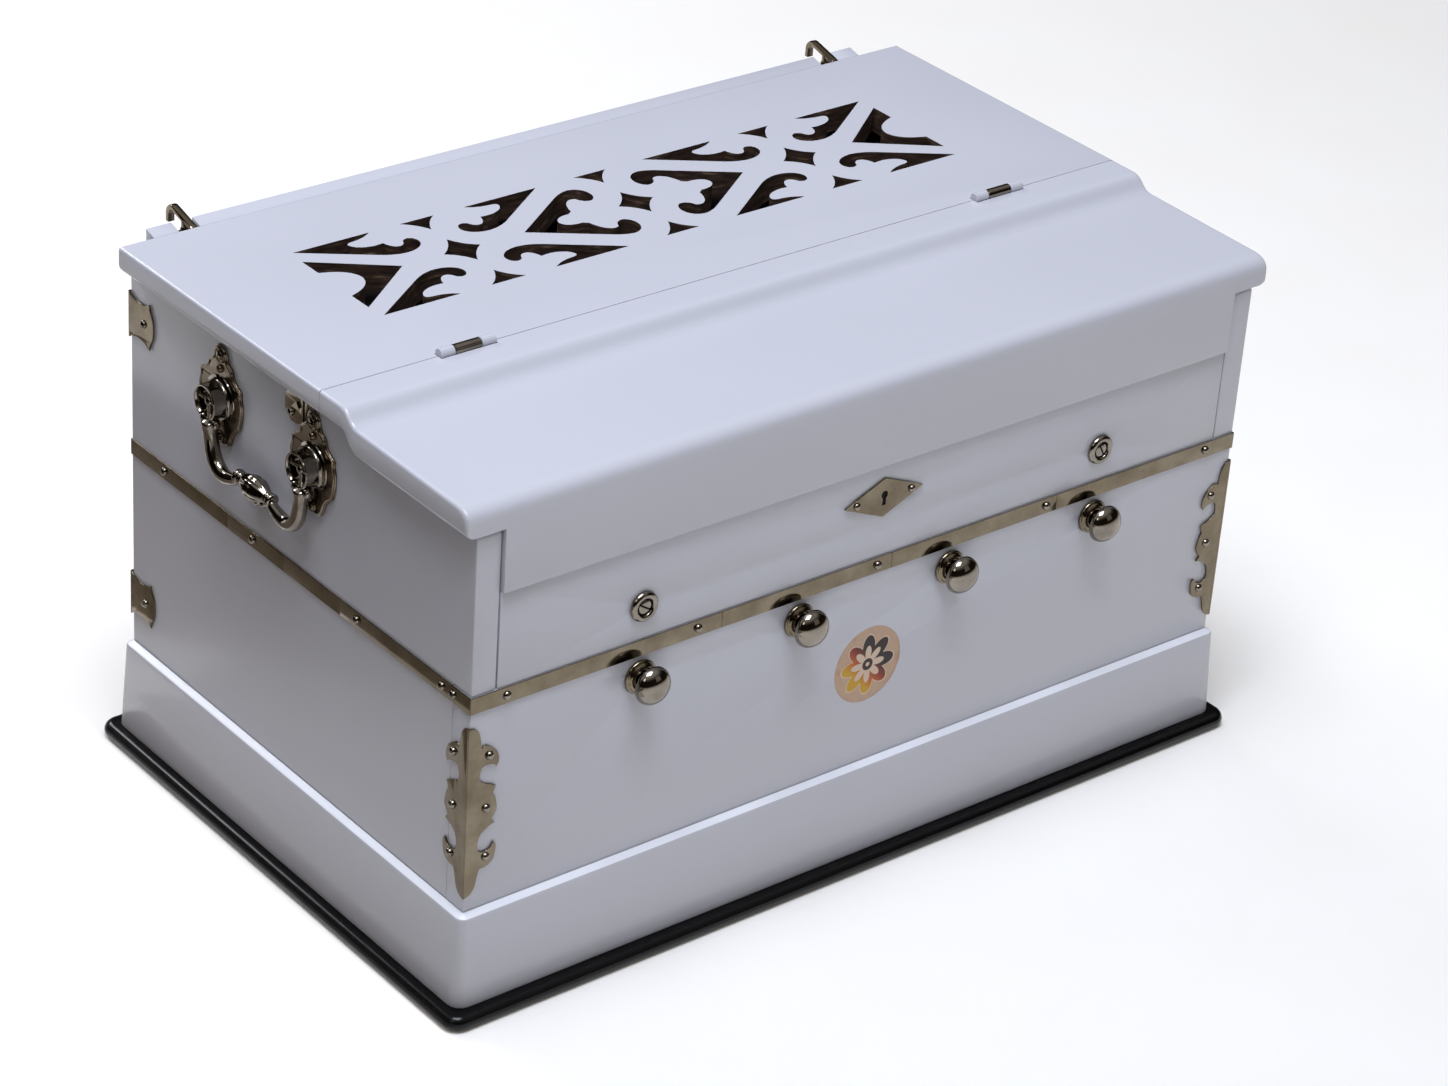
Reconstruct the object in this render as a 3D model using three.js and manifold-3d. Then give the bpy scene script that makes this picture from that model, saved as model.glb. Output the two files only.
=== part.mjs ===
// A hand-pumped Indian harmonium: a painted wooden case on a flared plinth, a fretted rear lid,
// a folding front cover over a keyboard of three and a half octaves, four stop knobs, and a
// bellows board on the back. Millimetres, +Z up, the player sits on the -Y side.
// Pieces are drawn in the case's own frame: y is 0 on the case's front face, z is 0 on the table.
import * as THREE from 'three';
import { mergeVertices } from 'three/addons/utils/BufferGeometryUtils.js';
import Module from 'manifold-3d';

const wasm = await Module();
wasm.setup();

// Clearances and drawing tolerances
const gap = { seat: 0.3, run: 0.4, split: 0.6, key: 0.9 };
const weld = 0.0005;
const overrun = 3;
const facetCount = { curve: 3, bend: 6, eye: 8, ring: 12, round: 16, crest: 9 };
const edgeStepCount = 2;
const bailStepCount = 36;
const foldCount = { reservoir: 5, bellows: 3 };
const knuckleCount = 5;
const keyCount = { naturals: 25, separateFrom: 10, separateTo: 14 };

// The case and what it stands on
const shell = { width: 640, depth: 386.5, board: 18, lidUnderside: 280.5 };
const base = { thickness: 11, proud: 9, corner: 12, edge: 3 };
const plinth = { height: 67, flare: 9.2, shoulder: 3.6, chamfer: 3, ledge: 0.6, wall: 16 };
const band = { down: 136.1, height: 11.7, thickness: 0.8 };
const cheekRound = 4;

// Lids
const lid = { thickness: 18, overhang: 10, rearShort: 1.9, rearDeep: 231.6, edgeTop: 2.5, edgeLow: 7 };
const cover = {
  flat: 21.4, curve: 19.1, drop: 9.3, noseFrom: 12, noseDrop: 10.7, noseRound: 10,
  proud: 2.8, underDrop: 12.5, apron: 18, apronHigh: 44, apronGap: 1.2
};
const fret = {
  pitch: 142, starWide: 14.5, starHigh: 17.6, dartWide: 13.6, dartHigh: 17, bandHalf: 52,
  chevronAt: 92, chevronLong: 73.5, chevronHigh: 38, hookWide: 97, hookHigh: 52,
  endAt: 47, endLong: 52, endHigh: 38
};

// Bellows at the back
const bellows = {
  pocketDepth: 14, pocketSide: 48, pocketLow: 20, pocketDown: 12.5, panel: 24, ventRadius: 12,
  ventPitch: 110, boardGap: 5.5, board: 10, boardSide: 21, boardLow: 6, boardDown: 1.5,
  boardSlope: 2.5, clothInset: 2, foldDepth: 8
};
const bellowsHinge = { fromEnd: 100, barrel: 2.4, pin: 1, leaf: 1, leafHigh: 16, axisHigh: 3.6 };
const hook = {
  inset: 27, width: 5, bar: 3.8, notchHalf: 8, notchDepth: 18, pinHigh: 6, pinRadius: 1.6,
  pinSocket: 3, toeDrop: 9, rise: 6, reach: 14, tail: 12, boss: 3.6
};

// Handles on the two ends
const handle = {
  behind: 18, span: 105, down: 44.5, plate: 3, plateHalf: 25, plateUp: 2.5, plateRise: 35,
  cupRadius: 11, cupWall: 2.2, cupDeep: 14, slot: 5.4
};
const bail = {
  offset: 9.5, rod: 4, eye: 5, pin: 1.6, drop: 46, barDrop: 14.5, barHalf: 8, bar: 2.6, bulbDrop: 38,
  bulbHalf: 14, bulbRadius: 7.2, bead: 5.4
};

// Plates, nails and screws
const plate = { thickness: 1.2, nail: 3, nailRise: 2, nailSink: 0.4 };
const frontPlate = { wide: 22, above: 11, below: 9.4 };
const rearPlate = { wide: 29, high: 33, wrap: 15, upperDown: 32.5, lowerUp: 38 };
const jointPlate = { from: 13, to: 50, slot: 29, slotHalf: 1, high: 22.5, nail: 43, nailUp: 6, tuck: 1.5 };

// Stops, lock and slip screws
const stop = {
  fromEnd: 128.75, down: 15.1, headRadius: 13.2, headLong: 12.5, neckRadius: 5.6, neckLong: 9.5,
  rodRadius: 3.2, rodLong: 62, collarRadius: 12, collarHole: 6.2, collarLong: 4.6, travel: 20
};
const slip = {
  fromEnd: 128.5, up: 23.9, cup: 10.5, rise: 3.6, head: 7, slotWide: 1.6, slotDeep: 1.4,
  shank: 2.6, shankLong: 15
};
const lock = {
  down: 23.7, plateHalf: 33, plateRise: 14, caseHalf: 20, caseThick: 9.5, caseDeep: 40,
  boltHalf: 6, boltThick: 4, boltLong: 22, throw: 7, keyhole: 2, keySlot: 1, keyDrop: 7, strike: 1.2,
  pinAt: 23
};

// Cover hinges
const coverHinge = {
  fromEnd: 109, long: 42, middle: 20, barrel: 3.8, rise: 1.2, pin: 1.6, leaf: 1.2, leafHigh: 13, relief: 0.5
};

// Keyboard and the wind chest
const keys = {
  atEnds: 22, front: 3, long: 224, pivot: 132, clear: 22, thick: 14, sharpWide: 11, sharpFrom: 50,
  sharpRise: 10, sharpBack: 2, sharpLean: 4, pad: 25, padRise: 7.4, padGap: 0.6, comb: 12
};
const bed = { drop: 26, thick: 10, balanceHalf: 4, railFront: 12, railWide: 20, railDrop: 8 };
const reed = { thick: 18, behind: 10 };
const inner = { down: 18.5, thick: 6, fasciaThick: 8, fasciaDrop: 12, behind: 5 };
const reservoir = { fromEnd: 80, front: 72, back: 56.5, deep: 103.7, foldDepth: 9 };

// Outline tables, in shares of the sizes that they follow
const domeShares = [[1, 0], [0.72, 0.68], [0, 1]];
const starWaistShare = 0.34;
const knobShares = [[0, 1], [0.55, 0.97], [0.86, 0.86], [1, 0.66], [0.94, 0.4], [0.72, 0.16], [0.43, 0]];
const collarShares = [[1, 0], [1, 0.35], [0.86, 0.82], [0.68, 1]];
const cupShares = [[1, 0], [1, 0.3], [0.86, 1]];
const plateOutlineShares = [
  [0, 1], [0.2, 0.98], [0.28, 0.86], [0.34, 0.74], [0.5, 0.62], [0.56, 0.5], [0.74, 0.38], [0.94, 0.28],
  [0.92, 0.2], [1, 0], [0.96, -0.3], [0.87, -0.49], [0.6, -0.68], [0.5, -0.85], [0.32, -0.98], [0, -1]
];
const frontPlateShares = [
  [0, 1], [0.15, 0.98], [0.34, 0.85], [0.38, 0.73], [0.59, 0.74], [0.8, 0.69], [0.98, 0.6], [1, 0.52],
  [0.93, 0.46], [0.72, 0.5], [0.51, 0.51], [0.38, 0.47], [0.35, 0.39], [0.46, 0.33], [0.71, 0.28],
  [0.92, 0.24], [0.83, 0.16], [0.94, 0.07], [0.99, -0.02], [0.9, -0.1], [0.8, -0.15], [0.94, -0.2],
  [0.64, -0.24], [0.44, -0.3], [0.38, -0.4], [0.46, -0.49], [0.6, -0.51], [0.74, -0.5], [0.87, -0.45],
  [1, -0.46], [1, -0.53], [0.96, -0.61], [0.83, -0.66], [0.62, -0.7], [0.45, -0.71], [0.38, -0.78],
  [0.3, -0.92], [0.17, -0.97], [0, -1]
];
const bandNailSideShares = [0.044, 0.075, 0.313, 0.618, 0.893];
const bandNailFrontShares = [-0.4594, -0.2297, 0, 0.2297, 0.4594];
const frontNailShares = [[0.66, 0.62], [0.61, 0.01], [0.65, -0.57]];
const rearPlateShares = [[0, 1], [0.28, 0.8], [0.62, 0.82], [0.84, 1], [0.88, 0.7], [0.96, 0.5], [1, 0.1]];
const rearNailShare = 0.62;
const jointCornerShare = 0.32;

const rearFace = shell.depth;
const halfWidth = shell.width / 2;
const floorHigh = base.thickness + plinth.height;
const bandLow = shell.lidUnderside - band.down;
const bandTop = bandLow + band.height;
const inside = halfWidth - shell.board;
const insideFit = inside - gap.seat;
const lidTop = shell.lidUnderside + lid.thickness;
const lidHalf = halfWidth + lid.overhang;
const lidRear = rearFace - lid.rearShort;
const splitDepth = lidRear - lid.rearDeep;
const coverUnder = shell.lidUnderside - cover.underDrop;
const seamHeight = coverUnder - cover.apronHigh;
const coverFlatFrom = splitDepth - cover.flat;
const coverCurveTo = coverFlatFrom - cover.curve;
const coverMiddle = (coverFlatFrom + coverCurveTo) / 2;
const keyUnder = coverUnder - keys.clear - keys.sharpRise - keys.thick;
const keyTop = keyUnder + keys.thick;
const keyFront = shell.board + keys.front;
const keyPivot = shell.board + keys.pivot;
const keyTail = keyFront + keys.long;
const keyPitch = (inside - keys.atEnds) * 2 / keyCount.naturals;
const bedLow = keyUnder - bed.drop;
const reedTop = keyUnder - keys.padRise - keys.padGap;
const reedLow = reedTop - reed.thick;
const lift = (height) => floorHigh + height;

// Solids: closed geometries are joined and cut, with shared corners merged first
const signedVolume = (positions, triangles) => {
  const a = new THREE.Vector3();
  const b = new THREE.Vector3();
  const c = new THREE.Vector3();
  let sum = 0;
  for (let i = 0; i < triangles.length; i += 3) {
    a.fromArray(positions, triangles[i] * 3);
    b.fromArray(positions, triangles[i + 1] * 3);
    c.fromArray(positions, triangles[i + 2] * 3);
    sum += a.dot(b.cross(c));
  }
  return sum;
};

const closed = (geometry) => {
  const bare = geometry.clone();
  bare.deleteAttribute('normal');
  bare.deleteAttribute('uv');
  const merged = mergeVertices(bare, weld);
  const vertProperties = Float32Array.from(merged.attributes.position.array);
  const triVerts = Uint32Array.from(merged.index.array);
  if (signedVolume(vertProperties, triVerts) < 0) {
    for (let i = 0; i < triVerts.length; i += 3) {
      [triVerts[i], triVerts[i + 1]] = [triVerts[i + 1], triVerts[i]];
    }
  }
  const mesh = new wasm.Mesh({ numProp: 3, vertProperties, triVerts });
  mesh.merge();
  return new wasm.Manifold(mesh);
};

const open = (solid) => {
  const mesh = solid.getMesh();
  const geometry = new THREE.BufferGeometry();
  geometry.setAttribute('position', new THREE.BufferAttribute(Float32Array.from(mesh.vertProperties), 3));
  geometry.setIndex(new THREE.BufferAttribute(Uint32Array.from(mesh.triVerts), 1));
  return geometry;
};

const join = (first, ...others) =>
  open(others.reduce((sum, item) => sum.add(closed(item)), closed(first)));
const cut = (first, ...others) =>
  open(others.reduce((sum, item) => sum.subtract(closed(item)), closed(first)));
const common = (first, second) => open(closed(first).intersect(closed(second)));

const moved = (geometry, x, y, z) => geometry.clone().translate(x, y, z);
const mirrored = (geometry) => open(closed(geometry.clone().scale(-1, 1, 1)));

const block = (x0, x1, y0, y1, z0, z1) => {
  const geometry = new THREE.BoxGeometry(x1 - x0, y1 - y0, z1 - z0);
  return geometry.translate((x0 + x1) / 2, (y0 + y1) / 2, (z0 + z1) / 2);
};

// Extrusions along each axis, from an outline in the other two
const axisX = new THREE.Vector3(1, 0, 0);
const axisY = new THREE.Vector3(0, 1, 0);
const axisZ = new THREE.Vector3(0, 0, 1);
const extrude = (shape, depth, curveSegments = facetCount.curve) =>
  new THREE.ExtrudeGeometry(shape, { depth, bevelEnabled: false, curveSegments });
const slabZ = (shape, low, high) => extrude(shape, high - low).translate(0, 0, low);
const slabX = (shape, low, high, segments) => {
  const turn = new THREE.Matrix4().makeBasis(axisY, axisZ, axisX);
  return extrude(shape, high - low, segments).applyMatrix4(turn).translate(low, 0, 0);
};
const slabY = (shape, low, high) => {
  const turn = new THREE.Matrix4().makeBasis(axisX, axisZ, axisY.clone().negate());
  return extrude(shape, high - low).applyMatrix4(turn).translate(0, high, 0);
};

const outline = (points) => new THREE.Shape(points.map(([u, v]) => new THREE.Vector2(u, v)));
const rectangle = (u0, u1, v0, v1) => outline([[u0, v0], [u1, v0], [u1, v1], [u0, v1]]);
const circlePoints = (u, v, radius, sides) =>
  Array.from({ length: sides }, (_, i) => {
    const angle = (i / sides) * Math.PI * 2;
    return [u + radius * Math.cos(angle), v + radius * Math.sin(angle)];
  });

// Round rods and turned pieces. A profile is a list of [radius, distance along the axis].
const turned = (profile, sides, along) => {
  const points = profile.map(([radius, distance]) => new THREE.Vector2(radius, distance));
  const turn = new THREE.Quaternion().setFromUnitVectors(axisY, along);
  return new THREE.LatheGeometry(points, sides).applyQuaternion(turn);
};
const rod = (radius, from, to, along, sides = facetCount.ring) =>
  turned([[0, from], [radius, from], [radius, to], [0, to]], sides, along);
const outwards = axisY.clone().negate();

const dome = (radius, rise, sink, along) => {
  const cap = domeShares.map(([across, up]) => [radius * across, rise * up]);
  return turned([[0, -sink], [radius, -sink], ...cap], facetCount.eye, along);
};

// A strip of even thickness that follows a bent line
const strip = (points, thickness) => {
  const line = points.map(([u, v]) => new THREE.Vector2(u, v));
  const normalOf = (a, b) => {
    const step = b.clone().sub(a).normalize();
    return new THREE.Vector2(-step.y, step.x);
  };
  const side = (sign) => line.map((point, i) => {
    const before = i > 0 ? normalOf(line[i - 1], point) : normalOf(point, line[i + 1]);
    const after = i < line.length - 1 ? normalOf(point, line[i + 1]) : before;
    const middle = before.clone().add(after).normalize();
    const reach = (thickness / 2) / middle.dot(after);
    return point.clone().addScaledVector(middle, sign * reach);
  });
  return new THREE.Shape([...side(1), ...side(-1).reverse()]);
};

// A stack of rectangles joined wall to wall. Each level is [outset, height]; with ends it is a
// filled block, and without ends the last level joins the first, which makes a frame.
const stack = (x0, x1, y0, y1, levels, withEnds) => {
  const rings = levels.map(([out, height]) => [
    [x0 - out, y0 - out, height], [x1 + out, y0 - out, height],
    [x1 + out, y1 + out, height], [x0 - out, y1 + out, height]
  ]);
  const numbers = rings.map((ring, level) => ring.map((_, corner) => level * ring.length + corner));
  const [first, last] = [numbers.slice().shift(), numbers.slice().pop()];
  const triangles = [];
  numbers.forEach((ring, level) => {
    const next = level < levels.length - 1 ? numbers[level + 1] : first;
    if (withEnds && next === first) return;
    ring.forEach((here, corner) => {
      const [after, above] = [ring[corner + 1] ?? ring[0], next[corner]];
      const aboveAfter = next[corner + 1] ?? next[0];
      triangles.push(here, after, aboveAfter, here, aboveAfter, above);
    });
  });
  const fan = ([hub, start, ...rest]) => {
    let before = start;
    rest.forEach((corner) => {
      triangles.push(hub, before, corner);
      before = corner;
    });
  };
  if (withEnds) [first.slice().reverse(), last].forEach(fan);
  const geometry = new THREE.BufferGeometry();
  geometry.setAttribute('position', new THREE.BufferAttribute(new Float32Array(rings.flat(2)), 3));
  geometry.setIndex(triangles);
  return open(closed(geometry));
};

// Finishes
const finish = (color, roughness, metalness) =>
  new THREE.MeshStandardMaterial({ color, roughness, metalness });
const paint = finish(0xd6d9e2, 0.3, 0);
const blackGloss = finish(0x0c0c0e, 0.2, 0);
const nickel = finish(0x9a9080, 0.25, 1);
const darkWood = finish(0x3a2820, 0.6, 0);
const ivory = finish(0xeee8d6, 0.3, 0);
const ebony = finish(0x141416, 0.3, 0);
const steel = finish(0x70716f, 0.4, 1);
const clothFinish = finish(0x2a2320, 0.9, 0);

const harmonium = new THREE.Group();
const caseFrame = new THREE.Group();
harmonium.add(caseFrame);

const add = (name, solid, material) => {
  const geometry = open(closed(solid));
  geometry.computeVertexNormals();
  const mesh = new THREE.Mesh(geometry, material);
  mesh.name = name;
  caseFrame.add(mesh);
};
const addPair = (stem, ending, geometry, material) => {
  add(`${stem}_left${ending}`, geometry, material);
  add(`${stem}_right${ending}`, mirrored(geometry), material);
};

// The board it stands on, with rounded corners and a rounded edge
const baseBoard = () => {
  const reach = plinth.flare + base.proud;
  const [x, y0, y1, r] = [halfWidth + reach, -reach, rearFace + reach, base.corner];
  const shape = new THREE.Shape();
  shape.moveTo(-x + r, y0);
  shape.lineTo(x - r, y0).quadraticCurveTo(x, y0, x, y0 + r);
  shape.lineTo(x, y1 - r).quadraticCurveTo(x, y1, x - r, y1);
  shape.lineTo(-x + r, y1).quadraticCurveTo(-x, y1, -x, y1 - r);
  shape.lineTo(-x, y0 + r).quadraticCurveTo(-x, y0, -x + r, y0);
  const options = {
    depth: base.thickness - base.edge * 2, bevelEnabled: true, bevelThickness: base.edge,
    bevelSize: base.edge, bevelOffset: -base.edge, bevelSegments: edgeStepCount,
    curveSegments: facetCount.curve
  };
  return new THREE.ExtrudeGeometry(shape, options).translate(0, 0, base.edge);
};
add('base_board', baseBoard(), blackGloss);

// The flared plinth is a hollow frame
const plinthFrame = () => {
  const low = base.thickness;
  const high = floorHigh;
  return stack(-halfWidth, halfWidth, 0, rearFace, [
    [plinth.flare, low + gap.seat], [plinth.shoulder, high - plinth.chamfer], [plinth.ledge, high],
    [-plinth.wall, high], [-plinth.wall, low + gap.seat]
  ], false);
};
add('plinth', plinthFrame(), paint);

// The line of the cover's top or underside, from the split to the nose
const coverLine = (shape, top, drop, noseDrop) => {
  shape.lineTo(coverFlatFrom, top);
  shape.bezierCurveTo(coverMiddle, top, coverMiddle, top - drop, coverCurveTo, top - drop);
  shape.lineTo(cover.noseFrom, top - noseDrop);
};

// Side panels: the ends of the case. Above the band they come forward as the two cheeks.
const sidePanel = () => {
  const middle = coverMiddle + gap.run;
  const low = lift(gap.seat);
  const high = lift(shell.lidUnderside - gap.seat);
  const cheekTop = lift(coverUnder - gap.run);
  const shape = new THREE.Shape();
  shape.moveTo(shell.board + gap.seat, low);
  shape.lineTo(rearFace, low).lineTo(rearFace, high).lineTo(coverFlatFrom + gap.run, high);
  shape.bezierCurveTo(middle, high, middle, cheekTop, coverCurveTo, cheekTop);
  shape.lineTo(cheekRound, cheekTop).quadraticCurveTo(0, cheekTop, 0, cheekTop - cheekRound);
  shape.lineTo(0, lift(bandTop + gap.seat)).lineTo(shell.board + gap.seat, lift(bandTop + gap.seat));
  return slabX(shape, -halfWidth, -inside, facetCount.bend);
};
addPair('side_panel', '', sidePanel(), paint);

// Front panel below the band, drilled for the four stop rods
const stopShares = [-1, -1 / 3, 1 / 3, 1];
const stopAt = stopShares.map((share) => share * (halfWidth - stop.fromEnd));
const stopHigh = bandLow - stop.down;
const frontPanel = () => {
  const shape = rectangle(-halfWidth, halfWidth, lift(gap.seat), lift(bandTop));
  for (const x of stopAt) {
    const hole = circlePoints(x, lift(stopHigh), stop.rodRadius + gap.run, facetCount.ring);
    shape.holes.push(outline(hole));
  }
  return slabY(shape, 0, shell.board);
};
add('front_panel', frontPanel(), paint);

// Back panel: a frame with a pocket that takes the folded bellows, and vents through its floor
const pocketHalf = halfWidth - bellows.pocketSide;
const pocketHigh = shell.lidUnderside - bellows.pocketDown;
const backPanel = () => {
  const front = rearFace - bellows.panel;
  const floor = rearFace - bellows.pocketDepth;
  const top = lift(shell.lidUnderside - gap.seat);
  const body = block(-insideFit, insideFit, front, rearFace, lift(gap.seat), top);
  const pocket = block(
    -pocketHalf, pocketHalf, floor, rearFace + overrun,
    lift(bellows.pocketLow), lift(pocketHigh)
  );
  const ventHigh = lift((bellows.pocketLow + reedLow) / 2);
  const vents = [-1, 0, 1].map((step) => moved(
    rod(bellows.ventRadius, front - overrun, floor + overrun, axisY), step * bellows.ventPitch, 0, ventHigh
  ));
  return cut(body, pocket, ...vents);
};
add('back_panel', backPanel(), paint);

// Fall board between the cheeks, with a mortise for the lock, a keyhole and two screw holes
const slipSide = halfWidth - slip.fromEnd;
const slipAt = [-slipSide, slipSide];
const slipHigh = bandTop + slip.up;
const lockHigh = seamHeight - lock.down;
const mortiseFront = shell.board - lock.caseThick;
const fallBoard = () => {
  const shape = rectangle(-insideFit, insideFit, lift(bandTop + gap.seat), lift(seamHeight - gap.seat));
  for (const x of slipAt) {
    shape.holes.push(outline(circlePoints(x, lift(slipHigh), slip.shank + gap.run, facetCount.ring)));
  }
  shape.holes.push(keyholeShape(lock.keyhole, lock.keySlot));
  const mortise = block(
    -lock.caseHalf - gap.seat, lock.caseHalf + gap.seat, mortiseFront - gap.seat, shell.board + overrun,
    lift(seamHeight - lock.caseDeep - gap.seat), lift(seamHeight + overrun)
  );
  return cut(slabY(shape, 0, shell.board), mortise);
};
function keyholeShape(radius, slot) {
  const high = lift(lockHigh);
  const ring = circlePoints(0, high + radius, radius, facetCount.ring);
  const top = ring.filter(([, v]) => v > high + radius / 2);
  const foot = high - lock.keyDrop;
  return outline([...top, [-slot, high], [-slot, foot], [slot, foot], [slot, high]]);
}
add('fall_board', fallBoard(), paint);

// Slotted screws in turned cups that hold the fall board
const slipScrew = (x) => {
  const profile = [
    [0, -slip.shankLong], [slip.shank, -slip.shankLong], [slip.shank, gap.seat], [slip.cup, gap.seat],
    [slip.cup, slip.rise / 2], [slip.cup - slip.rise / 2, slip.rise], [slip.head + gap.run, slip.rise],
    [slip.head + gap.run, slip.rise / 2], [slip.head, slip.rise / 2], [slip.head, slip.rise], [0, slip.rise]
  ];
  const body = moved(turned(profile, facetCount.round, outwards), x, 0, lift(slipHigh));
  const half = slip.slotWide / 2;
  const slot = block(
    x - half, x + half, -slip.rise - overrun, -slip.rise + slip.slotDeep,
    lift(slipHigh - slip.head - gap.run / 2), lift(slipHigh + slip.head + gap.run / 2)
  );
  return cut(body, slot);
};
addPair('slip_screw', '', slipScrew(-slipSide), nickel);

// Domed nails seat in the plate or band that they hold, so they are one piece with it
const sideNail = (y, high, face) => moved(
  dome(plate.nail, plate.nailRise, plate.nailSink, axisX.clone().negate()), -halfWidth - face, y, lift(high)
);
const frontNail = (x, high, face) => moved(
  dome(plate.nail, plate.nailRise, plate.nailSink, outwards), x, -face, lift(high)
);

// The band runs round the ends and the front
const trimBand = () => {
  const face = gap.seat + band.thickness / 2;
  const route = [
    [-halfWidth - face, rearFace], [-halfWidth - face, -face], [halfWidth + face, -face],
    [halfWidth + face, rearFace]
  ];
  const top = gap.seat + band.thickness;
  const middle = bandLow + band.height / 2;
  const nails = [
    ...bandNailFrontShares.map((share) => frontNail(share * shell.width, middle, top)),
    ...bandNailSideShares.map((share) => sideNail(share * shell.depth, middle, top)),
    ...bandNailSideShares.map((share) => mirrored(sideNail(share * shell.depth, middle, top)))
  ];
  return join(slabZ(strip(route, band.thickness), lift(bandLow), lift(bandTop)), ...nails);
};
add('trim_band', trimBand(), nickel);

// Ornate plates folded round the front corners of the lower case
const plateFace = gap.seat + plate.thickness;
const frontCornerPlate = () => {
  const half = (bandLow - frontPlate.below - frontPlate.above) / 2;
  const middle = frontPlate.above + half;
  const centre = lift(middle);
  const edge = frontPlateShares.map(([across, up]) => [across * frontPlate.wide, centre + up * half]);
  const front = outline(edge.map(([across, high]) => [across - halfWidth, high]));
  const side = outline(edge);
  const fold = block(
    -halfWidth - plateFace, -halfWidth + plate.thickness, -plateFace, plate.thickness,
    centre - half, centre + half
  );
  const corner = block(
    -halfWidth - gap.seat, -halfWidth + plate.thickness + overrun, -gap.seat, plate.thickness + overrun,
    centre - half - overrun, centre + half + overrun
  );
  const nails = frontNailShares.flatMap(([across, up]) => [
    frontNail(-halfWidth + across * frontPlate.wide, middle + up * half, plateFace),
    sideNail(across * frontPlate.wide, middle + up * half, plateFace)
  ]);
  return join(
    slabY(front, -plateFace, -gap.seat), slabX(side, -halfWidth - plateFace, -halfWidth - gap.seat),
    cut(fold, corner), ...nails
  );
};
addPair('corner_plate_front', '', frontCornerPlate(), nickel);

// Small plates on the rear corners, wrapped a little way onto the back
const rearCornerPlate = (high) => {
  const half = rearPlate.high / 2;
  const upper = rearPlateShares.map(([across, up]) => [
    rearFace - across * rearPlate.wide, lift(high) + up * half
  ]);
  const lower = upper.slice(0).reverse().map(([y, z]) => [y, lift(high) * 2 - z]);
  const side = slabX(outline([...upper, ...lower]), -halfWidth - plateFace, -halfWidth - gap.seat);
  const fold = block(
    -halfWidth - plateFace, -halfWidth + rearPlate.wrap, rearFace - plate.thickness, rearFace + plateFace,
    lift(high) - half, lift(high) + half
  );
  const corner = block(
    -halfWidth - gap.seat, -halfWidth + rearPlate.wrap + overrun, rearFace - plate.thickness - overrun,
    rearFace + gap.seat, lift(high) - half - overrun, lift(high) + half + overrun
  );
  const nail = sideNail(rearFace - rearPlate.wide * rearNailShare, high, plateFace);
  return join(side, cut(fold, corner), nail);
};
addPair('corner_plate_rear', '_upper', rearCornerPlate(shell.lidUnderside - rearPlate.upperDown), nickel);
addPair('corner_plate_rear', '_lower', rearCornerPlate(rearPlate.lowerUp), nickel);

// Outline of a handle plate, from its crest down one side and up the other
const handleHigh = shell.lidUnderside - handle.down;
const handleFront = splitDepth + handle.behind;
const handleRear = handleFront + handle.span;
const handleEdge = (y) => {
  const right = plateOutlineShares.map(([across, up]) => [
    y + across * handle.plateHalf, lift(handleHigh + handle.plateUp) + up * handle.plateRise
  ]);
  return [...right, ...right.slice(1, -1).reverse().map(([u, v]) => [2 * y - u, v])];
};

// Slotted plate under the lid's edge near the split, cut back round the handle plate's crest
const sideJointPlate = () => {
  const high = lift(shell.lidUnderside - jointPlate.tuck);
  const low = high - jointPlate.high;
  const [front, rear] = [jointPlate.from, jointPlate.to].map((along) => splitDepth + along);
  const slot = splitDepth + jointPlate.slot;
  const bevel = (rear - slot) * jointCornerShare;
  const edge = outline([
    [front, low + bevel], [front + bevel, low], [rear - bevel, low], [rear, low + bevel],
    [rear, high - bevel], [rear - bevel, high], [front, high]
  ]);
  edge.holes.push(rectangle(
    slot - jointPlate.slotHalf, slot + jointPlate.slotHalf, low + bevel / 2, high - bevel / 2
  ));
  const face = slabX(edge, -halfWidth - plateFace, -halfWidth - gap.seat);
  const crest = handleEdge(handleFront);
  const around = [...crest.slice(-facetCount.crest), ...crest.slice(0, facetCount.crest + 1)];
  const rim = strip(around, gap.split * 2);
  const room = [outline(crest), rim].map((shape) => slabX(shape, -halfWidth - handle.plate, -halfWidth));
  const nailHigh = shell.lidUnderside - jointPlate.tuck - jointPlate.high + jointPlate.nailUp;
  return join(cut(face, ...room), sideNail(splitDepth + jointPlate.nail, nailHigh, plateFace));
};
addPair('joint_plate', '', sideJointPlate(), nickel);

// Handle plates with a slotted cup in which the bail's end turns
const handlePlate = (y) => {
  const centre = lift(handleHigh);
  const face = slabX(outline(handleEdge(y)), -halfWidth - gap.seat - handle.plate, -halfWidth - gap.seat);
  const sides = cupShares.map(([across, up]) => [handle.cupRadius * across, handle.cupDeep * up]);
  const hollow = handle.cupRadius * cupShares[2][0] - handle.cupWall;
  const profile = [
    [0, gap.seat + plate.nailSink], [handle.cupRadius, gap.seat + plate.nailSink], ...sides.slice(1),
    [hollow, handle.cupDeep], [hollow, handle.plate + gap.seat], [0, handle.plate + gap.seat]
  ];
  const cup = moved(turned(profile, facetCount.round, axisX.clone().negate()), -halfWidth, y, centre);
  const slot = block(
    -halfWidth - handle.cupDeep - overrun, -halfWidth - handle.plate - gap.seat,
    y - handle.slot, y + handle.slot, centre - handle.cupRadius - overrun, centre
  );
  const pinHole = moved(
    rod(bail.pin + gap.seat, y - handle.cupRadius - overrun, y + handle.cupRadius + overrun, axisY),
    -halfWidth - bail.offset, 0, centre
  );
  return cut(join(face, cup), slot, pinHole);
};
addPair('handle_plate', '_front', handlePlate(handleFront), nickel);
addPair('handle_plate', '_rear', handlePlate(handleRear), nickel);

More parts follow.
